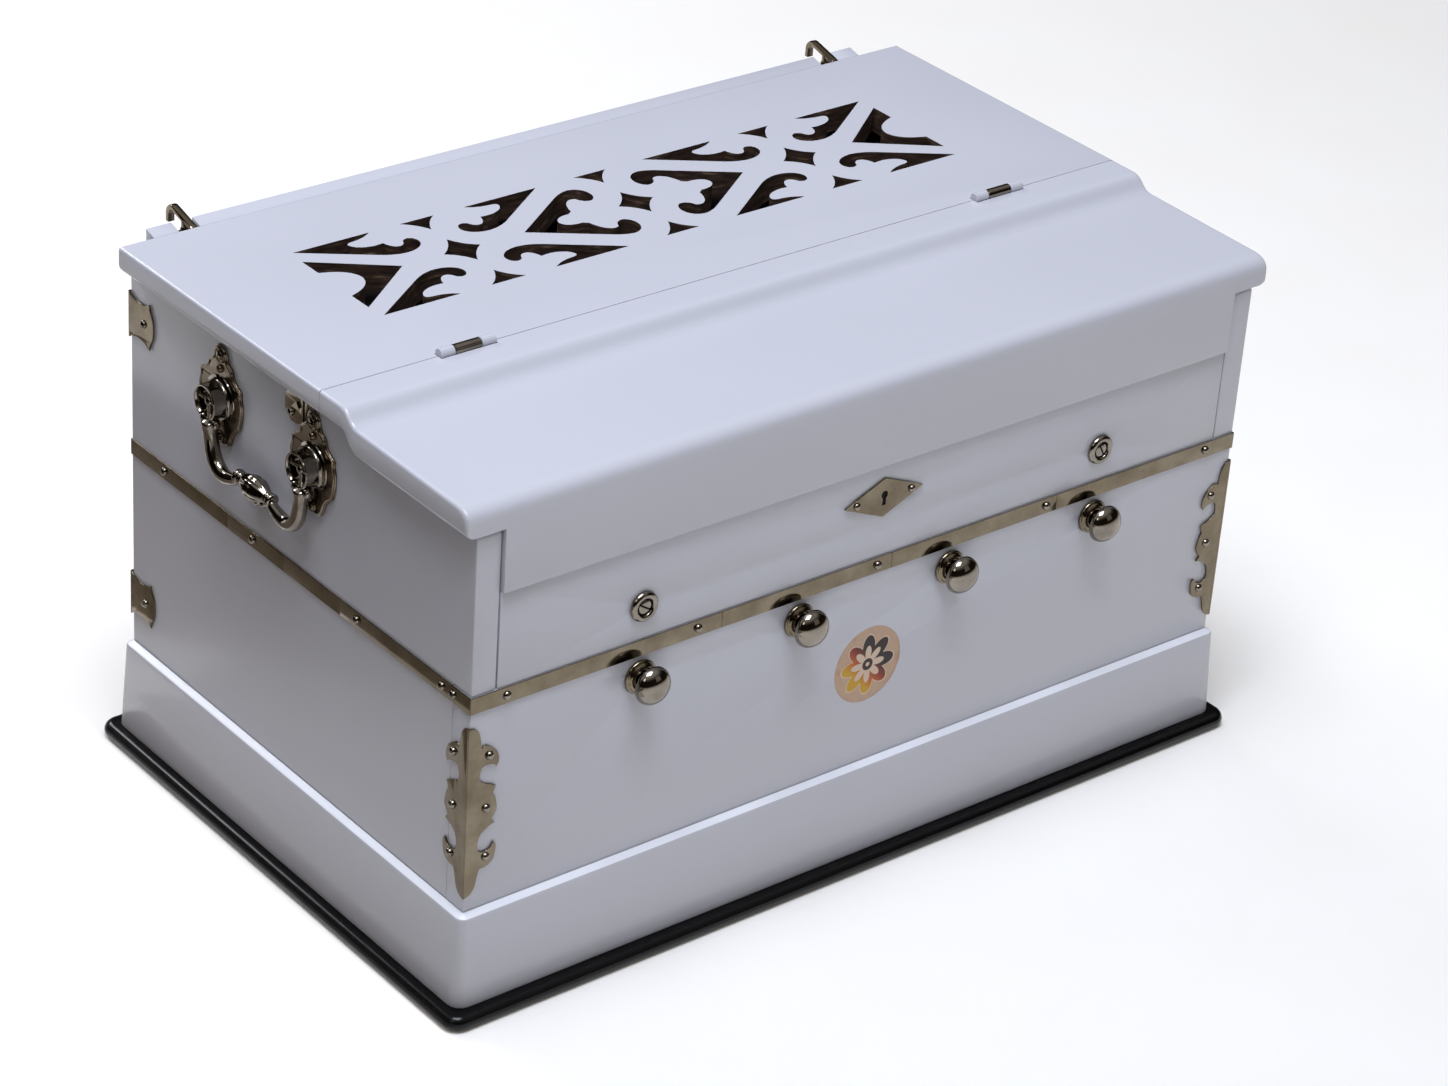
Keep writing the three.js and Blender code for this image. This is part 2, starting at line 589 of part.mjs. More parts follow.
// The drop handle: a swan-necked rod with a bulb between two beads, and an eye in each cup
const bailMiddle = (handleFront + handleRear) / 2;
const bailHalf = (handleRear - handleFront) / 2;
const bailRouteShares = [
  [1, 0], [1, 0.3], [0.97, 0.62], [0.88, 0.88], [0.7, 1], [0.5, 0.97], [0.33, 0.87], [0, 0.83]
];
const handleBail = () => {
  const x = -halfWidth - bail.offset;
  const centre = lift(handleHigh);
  const half = bailRouteShares.map(([out, down]) => [out * bailHalf, down * bail.drop]);
  const place = ([out, down], sign) => new THREE.Vector3(x, bailMiddle + sign * out, centre - down);
  const route = [...half.map((p) => place(p, 1)), ...half.slice(0, -1).reverse().map((p) => place(p, -1))];
  const options = {
    steps: bailStepCount, bevelEnabled: false, extrudePath: new THREE.CatmullRomCurve3(route)
  };
  const body = new THREE.ExtrudeGeometry(outline(circlePoints(0, 0, bail.rod, facetCount.eye)), options);
  const ends = [1, -1].flatMap((sign) => {
    const y = bailMiddle + sign * bailHalf;
    const pinLong = handle.cupRadius - gap.run;
    return [
      moved(new THREE.SphereGeometry(bail.eye, facetCount.ring, facetCount.ring / 2), x, y, centre),
      moved(rod(bail.pin, y - pinLong, y + pinLong, axisY), x, 0, centre),
      moved(rod(bail.bar, y - bail.barHalf, y + bail.barHalf, axisY), x, 0, centre - bail.barDrop)
    ];
  });
  const bulb = new THREE.SphereGeometry(bail.bulbRadius, facetCount.ring, facetCount.ring / 2);
  bulb.scale(1, bail.bulbHalf / bail.bulbRadius, 1).translate(x, bailMiddle, centre - bail.bulbDrop);
  const beads = [1, -1].map((sign) => moved(
    new THREE.SphereGeometry(bail.bead, facetCount.ring, facetCount.ring / 2),
    x, bailMiddle + sign * (bail.bulbHalf + bail.bead / 2), centre - bail.bulbDrop - bail.bead / 2
  ));
  return join(body, ...ends, bulb, ...beads);
};
addPair('handle_bail', '', handleBail(), nickel);

// Fretwork: stars, darts, hooked scrolls and chevrons, laid out round the middle of the rear lid
const fretMiddle = (splitDepth + lidRear) / 2;
const drawn = (pen, place) => {
  const shape = new THREE.Shape();
  const calls = { m: 'moveTo', l: 'lineTo', q: 'quadraticCurveTo', b: 'bezierCurveTo' };
  for (const [letter, ...shares] of pen) {
    shape[calls[letter]](...shares.flatMap((share) => place(share)));
  }
  return shape;
};
const starPen = (waist) => [
  ['m', [0, 1]], ['q', [waist, waist], [1, 0]], ['q', [waist, -waist], [0, -1]],
  ['q', [-waist, -waist], [-1, 0]], ['q', [-waist, waist], [0, 1]]
];
const dartShares = [
  ['m', [-1, 1]], ['q', [-0.34, 0.66], [0, 0]], ['q', [0.34, 0.66], [1, 1]], ['l', [-1, 1]]
];
const hookShares = [
  ['m', [0.39, 1]], ['l', [1, 1]], ['l', [0.515, 0.39]], ['q', [0.42, 0.28], [0.33, 0.28]],
  ['b', [0.2, 0.29], [0.14, 0.46], [0.185, 0.58]], ['q', [0.225, 0.66], [0.268, 0.58]],
  ['q', [0.29, 0.45], [0.35, 0.49]], ['q', [0.39, 0.54], [0.4, 0.66]], ['q', [0.51, 0.62], [0.59, 0.73]],
  ['q', [0.66, 0.88], [0.56, 0.885]], ['q', [0.46, 0.9], [0.39, 1]]
];
const chevronShares = [
  ['m', [0, 0]], ['l', [0.63, 0.82]], ['q', [0.76, 1], [0.86, 1]],
  ['b', [1.02, 0.96], [1.04, 0.56], [0.93, 0.45]],
  ['q', [0.84, 0.44], [0.81, 0.63]], ['q', [0.74, 0.72], [0.67, 0.54]], ['q', [0.63, 0.4], [0.62, 0.27]],
  ['l', [0.57, 0.2]], ['q', [0.4, 0.21], [0.383, 0]]
];
const endShares = [
  ['m', [0, 0]], ['l', [1, 1]], ['l', [1, 0.5]], ['q', [0.62, 0.34], [0.6, 0]]
];

// The second half of a shape that is the same above and below its own middle line
const doubled = (pen) => {
  const points = [];
  let at = null;
  for (const [letter, ...shares] of pen) {
    if (letter !== 'm') points.push([letter, [at, ...shares]]);
    at = shares[shares.length - 1];
  }
  const back = points.reverse().map(([letter, path]) => {
    const flipped = path.slice(0, -1).reverse().map(([u, v]) => [u, -v]);
    return [letter, ...flipped];
  });
  return [...pen, ...back];
};

const fretHoles = () => {
  const holes = [];
  const scaled = (x, y, wide, high) => ([u, v]) => [x + u * wide, y + v * high];
  for (const step of [-1, 0, 1]) {
    const x = step * fret.pitch;
    holes.push(drawn(starPen(starWaistShare), scaled(x, fretMiddle, fret.starWide, fret.starHigh)));
    for (const up of [1, -1]) {
      const y = fretMiddle + up * (fret.bandHalf - fret.dartHigh);
      holes.push(drawn(dartShares, scaled(x, y, fret.dartWide, up * fret.dartHigh)));
      for (const side of step === 0 ? [] : [1, -1]) {
        holes.push(drawn(hookShares, scaled(x, fretMiddle, side * fret.hookWide, up * fret.hookHigh)));
      }
    }
  }
  for (const side of [1, -1]) {
    const chevronAt = scaled(side * fret.chevronAt, fretMiddle, -side * fret.chevronLong, fret.chevronHigh);
    holes.push(drawn(doubled(chevronShares), chevronAt));
    const endAt = scaled(side * (fret.pitch + fret.endAt), fretMiddle, side * fret.endLong, fret.endHigh);
    holes.push(drawn(doubled(endShares), endAt));
  }
  return holes;
};

// Room in both lids for a cover hinge
const hingeRoom = (x) => {
  const half = coverHinge.long / 2 + gap.run;
  const reach = coverHinge.barrel + coverHinge.relief;
  const high = lift(lidTop + coverHinge.rise);
  const barrel = moved(
    rod(reach, x - half, x + half, axisX, facetCount.round), 0, splitDepth, high
  );
  const leafRoom = coverHinge.leaf + gap.split;
  const leaves = block(
    x - half, x + half, splitDepth - leafRoom, splitDepth + leafRoom,
    lift(lidTop - coverHinge.leafHigh - gap.seat), lift(lidTop + overrun)
  );
  return join(barrel, leaves);
};
const hingeSide = lidHalf - coverHinge.fromEnd;
const hingeRooms = [-1, 1].map((side) => hingeRoom(side * hingeSide));

// Rear lid: a fretted board whose ends are rounded
const rearLid = () => {
  const front = splitDepth + gap.split / 2;
  const [low, high] = [lift(shell.lidUnderside), lift(lidTop)];
  const endView = new THREE.Shape();
  endView.moveTo(-lidHalf + lid.edgeLow, low).lineTo(lidHalf - lid.edgeLow, low);
  endView.quadraticCurveTo(lidHalf, low, lidHalf, low + lid.edgeLow).lineTo(lidHalf, high - lid.edgeTop);
  endView.quadraticCurveTo(lidHalf, high, lidHalf - lid.edgeTop, high).lineTo(-lidHalf + lid.edgeTop, high);
  endView.quadraticCurveTo(-lidHalf, high, -lidHalf, high - lid.edgeTop).lineTo(-lidHalf, low + lid.edgeLow);
  endView.quadraticCurveTo(-lidHalf, low, -lidHalf + lid.edgeLow, low);
  const holes = fretHoles().map((hole) => slabZ(hole, low - overrun, high + overrun));
  return cut(slabY(endView, front, lidRear), ...holes, ...hingeRooms);
};
add('lid_rear', rearLid(), paint);

// Front cover: a curved board with an apron that closes the front between the cheeks
const frontCover = () => {
  const back = splitDepth - gap.split / 2;
  const high = lift(lidTop);
  const low = lift(shell.lidUnderside);
  const face = -cover.proud;
  const top = new THREE.Shape();
  top.moveTo(back, low).lineTo(back, high);
  coverLine(top, high, cover.drop, cover.noseDrop);
  top.quadraticCurveTo(face, high - cover.noseDrop, face, high - cover.noseDrop - cover.noseRound);
  top.lineTo(face, lift(coverUnder)).lineTo(coverCurveTo, lift(coverUnder));
  top.bezierCurveTo(coverMiddle, lift(coverUnder), coverMiddle, low, coverFlatFrom, low);
  const board = slabX(top, -lidHalf, lidHalf, facetCount.bend);
  const apronHalf = inside - cover.apronGap;
  const apron = block(
    -apronHalf, apronHalf, face, face + cover.apron, lift(seamHeight + gap.seat), lift(coverUnder + overrun)
  );
  const boltHigh = lift(seamHeight + gap.seat + lock.throw + lock.strike);
  const strike = block(
    -lock.boltHalf - lock.strike, lock.boltHalf + lock.strike, boltFront - lock.strike,
    boltFront + lock.boltThick + lock.strike, lift(seamHeight) - overrun, boltHigh
  );
  return cut(join(board, apron), strike, ...hingeRooms);
};
const boltFront = mortiseFront + (lock.caseThick - lock.boltThick) / 2;
add('lid_front', frontCover(), paint);

// Cover hinges: the rear leaf carries the outer knuckles and the pin, the front leaf the middle one
const hingeAxis = (radius, from, to) => moved(
  rod(radius, from, to, axisX), 0, splitDepth, lift(lidTop + coverHinge.rise)
);
const hingeLeaf = (x, side) => {
  const near = splitDepth + side * gap.seat / 2;
  const far = near + side * coverHinge.leaf;
  const half = coverHinge.long / 2;
  return block(
    x - half, x + half, Math.min(near, far), Math.max(near, far),
    lift(lidTop - coverHinge.leafHigh), lift(lidTop + coverHinge.rise)
  );
};
const rearHingeLeaf = (x) => {
  const half = coverHinge.long / 2;
  const middle = coverHinge.middle / 2 + gap.seat;
  const knuckles = [[-half, -middle], [middle, half]].map(
    ([from, to]) => hingeAxis(coverHinge.barrel, x + from, x + to)
  );
  const room = hingeAxis(coverHinge.barrel + gap.run, x - middle, x + middle);
  const pin = hingeAxis(coverHinge.pin, x - half, x + half);
  return join(cut(hingeLeaf(x, 1), room), ...knuckles, pin);
};
const frontHingeLeaf = (x) => {
  const half = coverHinge.long / 2;
  const middle = coverHinge.middle / 2;
  const rooms = [[-half - overrun, -middle - gap.seat], [middle + gap.seat, half + overrun]].map(
    ([from, to]) => hingeAxis(coverHinge.barrel + gap.run, x + from, x + to)
  );
  const bore = hingeAxis(coverHinge.pin + gap.seat, x - half, x + half);
  const knuckle = hingeAxis(coverHinge.barrel, x - middle, x + middle);
  return cut(join(cut(hingeLeaf(x, -1), ...rooms), knuckle), bore);
};
addPair('cover_hinge', '_fixed', rearHingeLeaf(-hingeSide), nickel);
addPair('cover_hinge', '_moving', frontHingeLeaf(-hingeSide), nickel);

// Lock: diamond escutcheon, a box in the fall board's mortise, and the bolt that rises from it
const escutcheon = () => {
  const high = lift(lockHigh);
  const shape = outline([
    [-lock.plateHalf, high], [0, high - lock.plateRise], [lock.plateHalf, high], [0, high + lock.plateRise]
  ]);
  shape.holes.push(keyholeShape(lock.keyhole, lock.keySlot));
  const pins = [-1, 1].map((side) => frontNail(side * lock.pinAt, lockHigh, plateFace));
  return join(slabY(shape, -plateFace, -gap.seat), ...pins);
};
add('lock_escutcheon', escutcheon(), nickel);

const boltLow = seamHeight - gap.seat - lock.boltLong;
const lockCase = () => {
  const box = block(
    -lock.caseHalf, lock.caseHalf, mortiseFront, shell.board, lift(seamHeight - lock.caseDeep),
    lift(seamHeight - gap.seat)
  );
  const channel = block(
    -lock.boltHalf - gap.run, lock.boltHalf + gap.run, boltFront - gap.run,
    boltFront + lock.boltThick + gap.run, lift(boltLow - gap.run), lift(seamHeight + overrun)
  );
  return cut(box, channel);
};
add('lock_case', lockCase(), steel);
add('lock_bolt', block(
  -lock.boltHalf, lock.boltHalf, boltFront, boltFront + lock.boltThick, lift(boltLow),
  lift(seamHeight - gap.seat)
), steel);

// Stop knobs on their rods, each through a turned collar
const stopKnob = (x) => {
  const headFrom = gap.seat + stop.neckLong;
  const head = knobShares.map(([across, along]) => [
    stop.headRadius * across, headFrom + stop.headLong * along
  ]);
  const profile = [
    ...head, [stop.neckRadius, gap.seat], [stop.rodRadius, gap.seat], [stop.rodRadius, -stop.rodLong],
    [0, -stop.rodLong]
  ];
  return moved(turned(profile, facetCount.round, outwards), x, 0, lift(stopHigh));
};
const knobCollar = (x) => {
  const outer = collarShares.map(([across, along]) => [
    stop.collarRadius * across, gap.seat + stop.collarLong * along
  ]);
  const profile = [
    [stop.collarHole, gap.seat], ...outer, [stop.collarHole, gap.seat + stop.collarLong],
    [stop.collarHole, gap.seat]
  ];
  return moved(turned(profile, facetCount.round, outwards), x, 0, lift(stopHigh));
};
stopAt.forEach((x, i) => {
  add(`stop_knob_${i + 1}`, stopKnob(x), nickel);
  add(`knob_collar_${i + 1}`, knobCollar(x), nickel);
});

// Bellows board: hangs on the strip hinge along its foot, notched at the top for the two hooks
const boardFront = rearFace + bellows.boardGap;
const boardRear = boardFront + bellows.board;
const boardHalf = halfWidth - bellows.boardSide;
const boardTop = lidTop - bellows.boardDown;
const hookAt = boardHalf - hook.inset;
const bellowsBoard = () => {
  const profile = outline([
    [boardFront, lift(bellows.boardLow)], [boardRear, lift(bellows.boardLow)], [boardRear, lift(boardTop)],
    [boardFront, lift(boardTop - bellows.boardSlope)]
  ]);
  const pinHigh = lift(boardTop - hook.pinHigh);
  const boardMiddle = (boardFront + boardRear) / 2;
  const cuts = [-1, 1].flatMap((side) => {
    const x = side * hookAt;
    const reach = hook.notchHalf + hook.pinSocket;
    return [
      block(
        x - hook.notchHalf, x + hook.notchHalf, boardFront - overrun, boardRear + overrun,
        lift(boardTop - hook.notchDepth), lift(boardTop + overrun)
      ),
      moved(rod(hook.pinRadius + gap.seat, x - reach, x + reach, axisX), 0, boardMiddle, pinHigh)
    ];
  });
  return cut(slabX(profile, -boardHalf, boardHalf), ...cuts);
};
add('bellows_board', bellowsBoard(), paint);

// Folded bellows cloth between the pocket and the board
const bellowsCloth = () => {
  const back = rearFace - bellows.pocketDepth + gap.seat;
  const front = boardFront - gap.seat;
  const step = (front - back) / (foldCount.bellows * 2);
  const levels = Array.from({ length: foldCount.bellows * 2 + 1 }, (_, i) => [
    i % 2 ? 0 : -bellows.foldDepth, back + step * i
  ]);
  const half = pocketHalf - bellows.clothInset;
  const low = lift(bellows.pocketLow + bellows.clothInset);
  const high = lift(pocketHigh - bellows.clothInset);
  const flat = stack(-half, half, -high, -low, levels, true);
  const turn = new THREE.Matrix4().makeBasis(axisX, axisZ.clone().negate(), axisY);
  return flat.applyMatrix4(turn);
};
add('bellows_cloth', bellowsCloth(), clothFinish);

// Bellows hinge: two leaves on one pin between the case and the board
const strapAxisY = rearFace + bellows.boardGap / 2;
const strapHalf = halfWidth - bellowsHinge.fromEnd;
const strapBarrel = (radius, from, to) => moved(
  rod(radius, from, to, axisX), 0, strapAxisY, lift(bellowsHinge.axisHigh)
);
const strapKnuckles = (parity, slack) => {
  const long = (strapHalf * 2) / knuckleCount;
  const list = [];
  for (let i = parity; i < knuckleCount; i += 2) {
    list.push([-strapHalf + i * long + slack, -strapHalf + (i + 1) * long - slack]);
  }
  return list;
};
const strapLeaf = (parity) => {
  const onCase = parity === 0;
  const near = onCase ? rearFace + gap.seat : boardFront - gap.seat - bellowsHinge.leaf;
  const low = lift(onCase ? bellowsHinge.axisHigh : bellows.boardLow);
  const leaf = block(
    -strapHalf, strapHalf, near, near + bellowsHinge.leaf, low,
    lift(bellowsHinge.axisHigh + bellowsHinge.leafHigh)
  );
  const barrelsOn = (which, slack, radius) =>
    strapKnuckles(which, slack).map(([from, to]) => strapBarrel(radius, from, to));
  const rooms = barrelsOn(1 - parity, -gap.seat, bellowsHinge.barrel + gap.run);
  const barrels = barrelsOn(parity, gap.seat, bellowsHinge.barrel);
  return { leaf: cut(leaf, ...rooms), barrels };
};
const fixedStrap = strapLeaf(0);
const movingStrap = strapLeaf(1);
const strapPinHalf = strapHalf - gap.seat;
add('bellows_hinge_fixed', join(
  fixedStrap.leaf, ...fixedStrap.barrels, strapBarrel(bellowsHinge.pin, -strapPinHalf, strapPinHalf)
), steel);
const linkWebs = strapKnuckles(1, gap.seat).map(([from, to]) => block(
  from, to, strapAxisY, boardFront - gap.seat, lift(bellowsHinge.axisHigh),
  lift(bellows.boardLow + bellowsHinge.leaf)
));
add('bellows_hinge_moving', cut(
  join(movingStrap.leaf, ...movingStrap.barrels, ...linkWebs),
  strapBarrel(bellowsHinge.pin + gap.seat, -strapHalf, strapHalf)
), steel);

// Hooks that lie over the bellows board, each on a pin across its notch
const bellowsHook = () => {
  const pinY = (boardFront + boardRear) / 2;
  const pinZ = lift(boardTop - hook.pinHigh);
  const toeY = lidRear + gap.run + hook.bar / 2;
  const top = lift(boardTop + hook.rise);
  const crest = lift(lidTop - hook.bar / 2);
  const shape = strip([
    [toeY, lift(lidTop - hook.toeDrop)], [toeY, crest], [boardRear + hook.reach - hook.bar, top],
    [boardRear + hook.reach, top - hook.bar], [boardRear + hook.reach, top - hook.tail]
  ], hook.bar);
  const half = hook.width / 2;
  const bar = slabX(shape, -hookAt - half, -hookAt + half);
  const web = block(
    -hookAt - half, -hookAt + half, pinY - hook.boss / 2, pinY + hook.boss / 2, pinZ, crest + hook.bar / 2
  );
  const boss = moved(rod(hook.boss, -hookAt - half, -hookAt + half, axisX), 0, pinY, pinZ);
  const reach = hook.notchHalf + hook.pinSocket - gap.run;
  const pin = moved(rod(hook.pinRadius, -hookAt - reach, -hookAt + reach, axisX), 0, pinY, pinZ);
  return join(bar, web, boss, pin);
};
addPair('bellows_hook', '', bellowsHook(), nickel);

// Key bed with its balance rail and front rail
const bedRail = (front, rear, high) => block(-insideFit, insideFit, front, rear, lift(bedLow), lift(high));
const railFront = shell.board + bed.railFront;
const keyBed = () => join(
  bedRail(shell.board + gap.seat, keyPivot + bed.balanceHalf, bedLow + bed.thick),
  bedRail(keyPivot - bed.balanceHalf, keyPivot + bed.balanceHalf, keyUnder - gap.seat),
  bedRail(railFront, railFront + bed.railWide, keyUnder - bed.railDrop)
);
add('key_bed', keyBed(), darkWood);

// Reed board under the tails of the keys
const panelFront = rearFace - bellows.panel;
add('reed_board', block(
  -insideFit, insideFit, keyPivot + bed.balanceHalf + reed.behind, panelFront - gap.seat,
  lift(reedLow), lift(reedTop)
), darkWood);

// Inner cover seen through the fretwork, with a fascia above the keys
const innerFront = splitDepth + inner.behind;
const innerLow = shell.lidUnderside - inner.down;
const innerBoard = (rear, low, high) =>
  block(-insideFit, insideFit, innerFront, rear, lift(low), lift(high));
add('inner_cover', join(
  innerBoard(panelFront - gap.seat, innerLow, innerLow + inner.thick),
  innerBoard(innerFront + inner.fasciaThick, innerLow - inner.fasciaDrop, shell.lidUnderside - gap.seat)
), darkWood);

// Air reservoir hung under the reed board
const airReservoir = () => {
  const high = lift(Math.min(reedLow, bedLow) - gap.seat);
  const low = high - reservoir.deep;
  const step = (high - low) / (foldCount.reservoir * 2);
  const levels = Array.from({ length: foldCount.reservoir * 2 + 1 }, (_, i) => [
    i % 2 ? -reservoir.foldDepth : 0, low + step * i
  ]);
  const rear = rearFace - reservoir.back;
  const half = halfWidth - reservoir.fromEnd;
  return stack(-half, half, reservoir.front, rear, levels, true);
};
add('air_reservoir', airReservoir(), clothFinish);

// Keyboard. A sharp stands on the line between two naturals, except between E and F and between B and C.
const octave = ['c', 'd', 'e', 'f', 'g', 'a', 'b'];
const sharpAfter = new Set(['c', 'd', 'f', 'g', 'a']);
const nameOf = (natural) => octave[natural % octave.length];
const hasSharp = (natural) =>
  natural >= 0 && natural < keyCount.naturals - 1 && sharpAfter.has(nameOf(natural));
const keyLeft = (natural) => (natural - keyCount.naturals / 2) * keyPitch;

const naturalKey = (natural) => {
  const [left, right] = [keyLeft(natural) + gap.key / 2, keyLeft(natural + 1) - gap.key / 2];
  const notch = keys.sharpWide / 2 + gap.key / 2;
  const tailLeft = hasSharp(natural - 1) ? left + notch : left;
  const tailRight = hasSharp(natural) ? right - notch : right;
  const step = keyFront + keys.sharpFrom - gap.key;
  const plan = outline([
    [left, keyFront], [right, keyFront], [right, step], [tailRight, step], [tailRight, keyTail],
    [tailLeft, keyTail], [tailLeft, step], [left, step]
  ].filter(([u, v], i, list) => i === 0 || u !== list[i - 1][0] || v !== list[i - 1][1]));
  const pad = block(
    tailLeft, tailRight, keyTail - keys.pad, keyTail, lift(keyUnder - keys.padRise), lift(keyUnder) + weld
  );
  return join(slabZ(plan, lift(keyUnder), lift(keyTop)), pad);
};
const sharpKey = (natural) => {
  const middle = keyLeft(natural + 1);
  const half = keys.sharpWide / 2 - gap.key / 2;
  const from = keyFront + keys.sharpFrom;
  const to = keyPivot - keys.sharpBack;
  const padFront = keyTail - keys.pad;
  const side = outline([
    [from, lift(keyUnder)], [padFront, lift(keyUnder)], [padFront, lift(keyUnder - keys.padRise)],
    [keyTail, lift(keyUnder - keys.padRise)], [keyTail, lift(keyTop)], [to, lift(keyTop)],
    [to, lift(keyTop + keys.sharpRise)], [from + keys.sharpLean, lift(keyTop + keys.sharpRise)],
    [from, lift(keyTop)]
  ]);
  return slabX(side, middle - half, middle + half);
};

// Keys outside the hand's reach at the middle are two blocks, joined by a comb over the balance rail
const keyBlock = (from, to) => {
  const list = [];
  for (let natural = from; natural < to; natural += 1) {
    list.push(naturalKey(natural));
    if (hasSharp(natural)) list.push(sharpKey(natural));
  }
  const comb = block(
    keyLeft(from) + gap.key / 2, keyLeft(to) - gap.key / 2, keyPivot, keyPivot + keys.comb,
    lift(keyUnder), lift(keyTop)
  );
  return join(comb, ...list);
};
add('keys_low', keyBlock(0, keyCount.separateFrom), ivory);
add('keys_high', keyBlock(keyCount.separateTo, keyCount.naturals), ivory);
for (let natural = keyCount.separateFrom; natural < keyCount.separateTo; natural += 1) {
  add(`key_${nameOf(natural)}`, naturalKey(natural), ivory);
  if (hasSharp(natural)) add(`key_${nameOf(natural)}_sharp`, sharpKey(natural), ebony);
}

// The origin is under the middle of the whole object
const frontReach = -(gap.seat + stop.neckLong + stop.headLong);
const rearReach = boardRear + hook.reach + hook.bar / 2;
caseFrame.position.set(0, -(frontReach + rearReach) / 2, 0);

export default harmonium;
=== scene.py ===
from math import asin, copysign, cos, degrees, exp, radians, sin, tau

import bmesh
import bpy
from mathutils import Matrix, Vector


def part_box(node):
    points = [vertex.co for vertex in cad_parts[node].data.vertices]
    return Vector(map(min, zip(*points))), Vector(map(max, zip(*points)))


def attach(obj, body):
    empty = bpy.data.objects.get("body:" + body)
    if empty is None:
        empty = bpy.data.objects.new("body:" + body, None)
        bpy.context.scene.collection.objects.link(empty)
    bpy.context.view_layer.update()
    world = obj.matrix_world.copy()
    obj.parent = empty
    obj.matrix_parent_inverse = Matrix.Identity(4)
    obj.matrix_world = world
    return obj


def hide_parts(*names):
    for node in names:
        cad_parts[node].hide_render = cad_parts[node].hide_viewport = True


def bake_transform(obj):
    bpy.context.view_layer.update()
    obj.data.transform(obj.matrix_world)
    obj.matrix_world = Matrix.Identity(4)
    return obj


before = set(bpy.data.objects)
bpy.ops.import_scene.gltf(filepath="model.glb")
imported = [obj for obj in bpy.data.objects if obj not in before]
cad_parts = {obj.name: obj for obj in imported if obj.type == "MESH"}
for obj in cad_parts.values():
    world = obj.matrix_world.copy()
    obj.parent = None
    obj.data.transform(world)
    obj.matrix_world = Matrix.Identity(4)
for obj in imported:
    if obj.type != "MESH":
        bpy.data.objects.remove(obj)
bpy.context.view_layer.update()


# The photographer stood at the front left corner, a little above the lid, and used a long lens,
# so the uprights of the case lean together only slightly. Nothing is shifted and all of it is sharp.
def link(name, data):
    """An object of a mesh, a curve, a light or the camera, in the scene."""
    made = bpy.data.objects.new(name, data)
    bpy.context.scene.collection.objects.link(made)
    return made


photo_camera = bpy.data.cameras.new("photo_camera")
photo_camera.sensor_fit = "HORIZONTAL"
photo_camera.sensor_width = 36.0
photo_camera.lens = 103.635
photo_camera.clip_end = 50.0
camera = link("photo_camera", photo_camera)
camera.matrix_world = Matrix((
    (0.78199, 0.26439, -0.56443, -1.58781),
    (-0.62007, 0.42189, -0.66145, -1.90602),
    (0.06324, 0.86724, 0.49386, 1.55916),
    (0.0, 0.0, 0.0, 1.0),
))
bpy.context.scene.camera = camera


# The studio: a white paper floor, a broad soft box over the back of the case, a weaker one to the
# right of the camera, and a dim warm room that gives the nickel its brown and black reflections.
def linear(code):
    """A colour of the screen as the shaders take it."""
    shares = [int(code[i:i + 2], 16) / 255 for i in (1, 3, 5)]
    return (*[c / 12.92 if c <= 0.04045 else ((c + 0.055) / 1.055) ** 2.4 for c in shares], 1.0)


def add(tree, kind, inputs=None, stops=None, **settings):
    """Adds one node to a tree. Inputs are values, sockets to link from, or nodes whose first
    output is linked. Stops are the colours of a ramp, each with its place."""
    made = tree.nodes.new(kind)
    for name, value in settings.items():
        setattr(made, name, value)
    for name, value in (inputs or {}).items():
        if isinstance(value, bpy.types.Node):
            value = next(socket for socket in value.outputs if socket.enabled)
        if isinstance(value, bpy.types.NodeSocket):
            tree.links.new(value, made.inputs[name])
        else:
            made.inputs[name].default_value = value
    if stops:
        ramp = made.color_ramp.elements
        while len(ramp) < len(stops):
            ramp.new(0.5)
        for element, (position, color) in zip(ramp, stops.items()):
            element.position = position
            element.color = linear(color) if isinstance(color, str) else (color, color, color, 1.0)
    return made


def new_material(name):
    """An empty material, its tree, and the place on the object in metres."""
    material = bpy.data.materials.new(name)
    material.use_nodes = True
    tree = material.node_tree
    tree.nodes.clear()
    return material, tree, add(tree, "ShaderNodeTexCoord").outputs["Object"]


def finish_material(tree, inputs, bump=None, strength=0.0, depth=0.0):
    """Closes a material with its shader. The bump is a height that varies by the depth, in metres."""
    if bump is not None:
        inputs["Normal"] = add(tree, "ShaderNodeBump", {"Height": bump, "Strength": strength, "Distance": depth})
    add(tree, "ShaderNodeOutputMaterial", {"Surface": add(tree, "ShaderNodeBsdfPrincipled", inputs)})


def clouded(name, cloud, stops, rough, bump=None, grain=None, **more):
    """A whole material whose colour follows one cloudy unevenness. Cloud and grain hold the scale,
    detail and roughness of noise, and the stretch that makes streaks of it. The grain, or else the
    cloud, is the bump's height. Rough is a number, or a range of the cloud and what it turns into."""
    material, tree, where = new_material(name)
    noises = []
    for scale, detail, soft, *stretch in filter(None, (cloud, grain)):
        spot = add(tree, "ShaderNodeMapping", {"Vector": where, "Scale": stretch[0]}) if stretch else where
        settings = {"Vector": spot, "Scale": scale, "Detail": detail, "Roughness": soft}
        noises.append(add(tree, "ShaderNodeTexNoise", settings))
    if isinstance(rough, tuple):
        ends = dict(zip(("From Min", "From Max", "To Min", "To Max"), rough))
        rough = add(tree, "ShaderNodeMapRange", {"Value": noises[0], **ends})
    tone = add(tree, "ShaderNodeValToRGB", {"Fac": noises[0]}, stops)
    inputs = {"Base Color": tone, "Roughness": rough}
    inputs.update((key.replace("_", " "), value) for key, value in more.items())
    if "Emission Strength" in inputs:
        inputs["Emission Color"] = tone
    finish_material(tree, inputs, noises[-1] if bump else None, *(bump or ()))
    return material


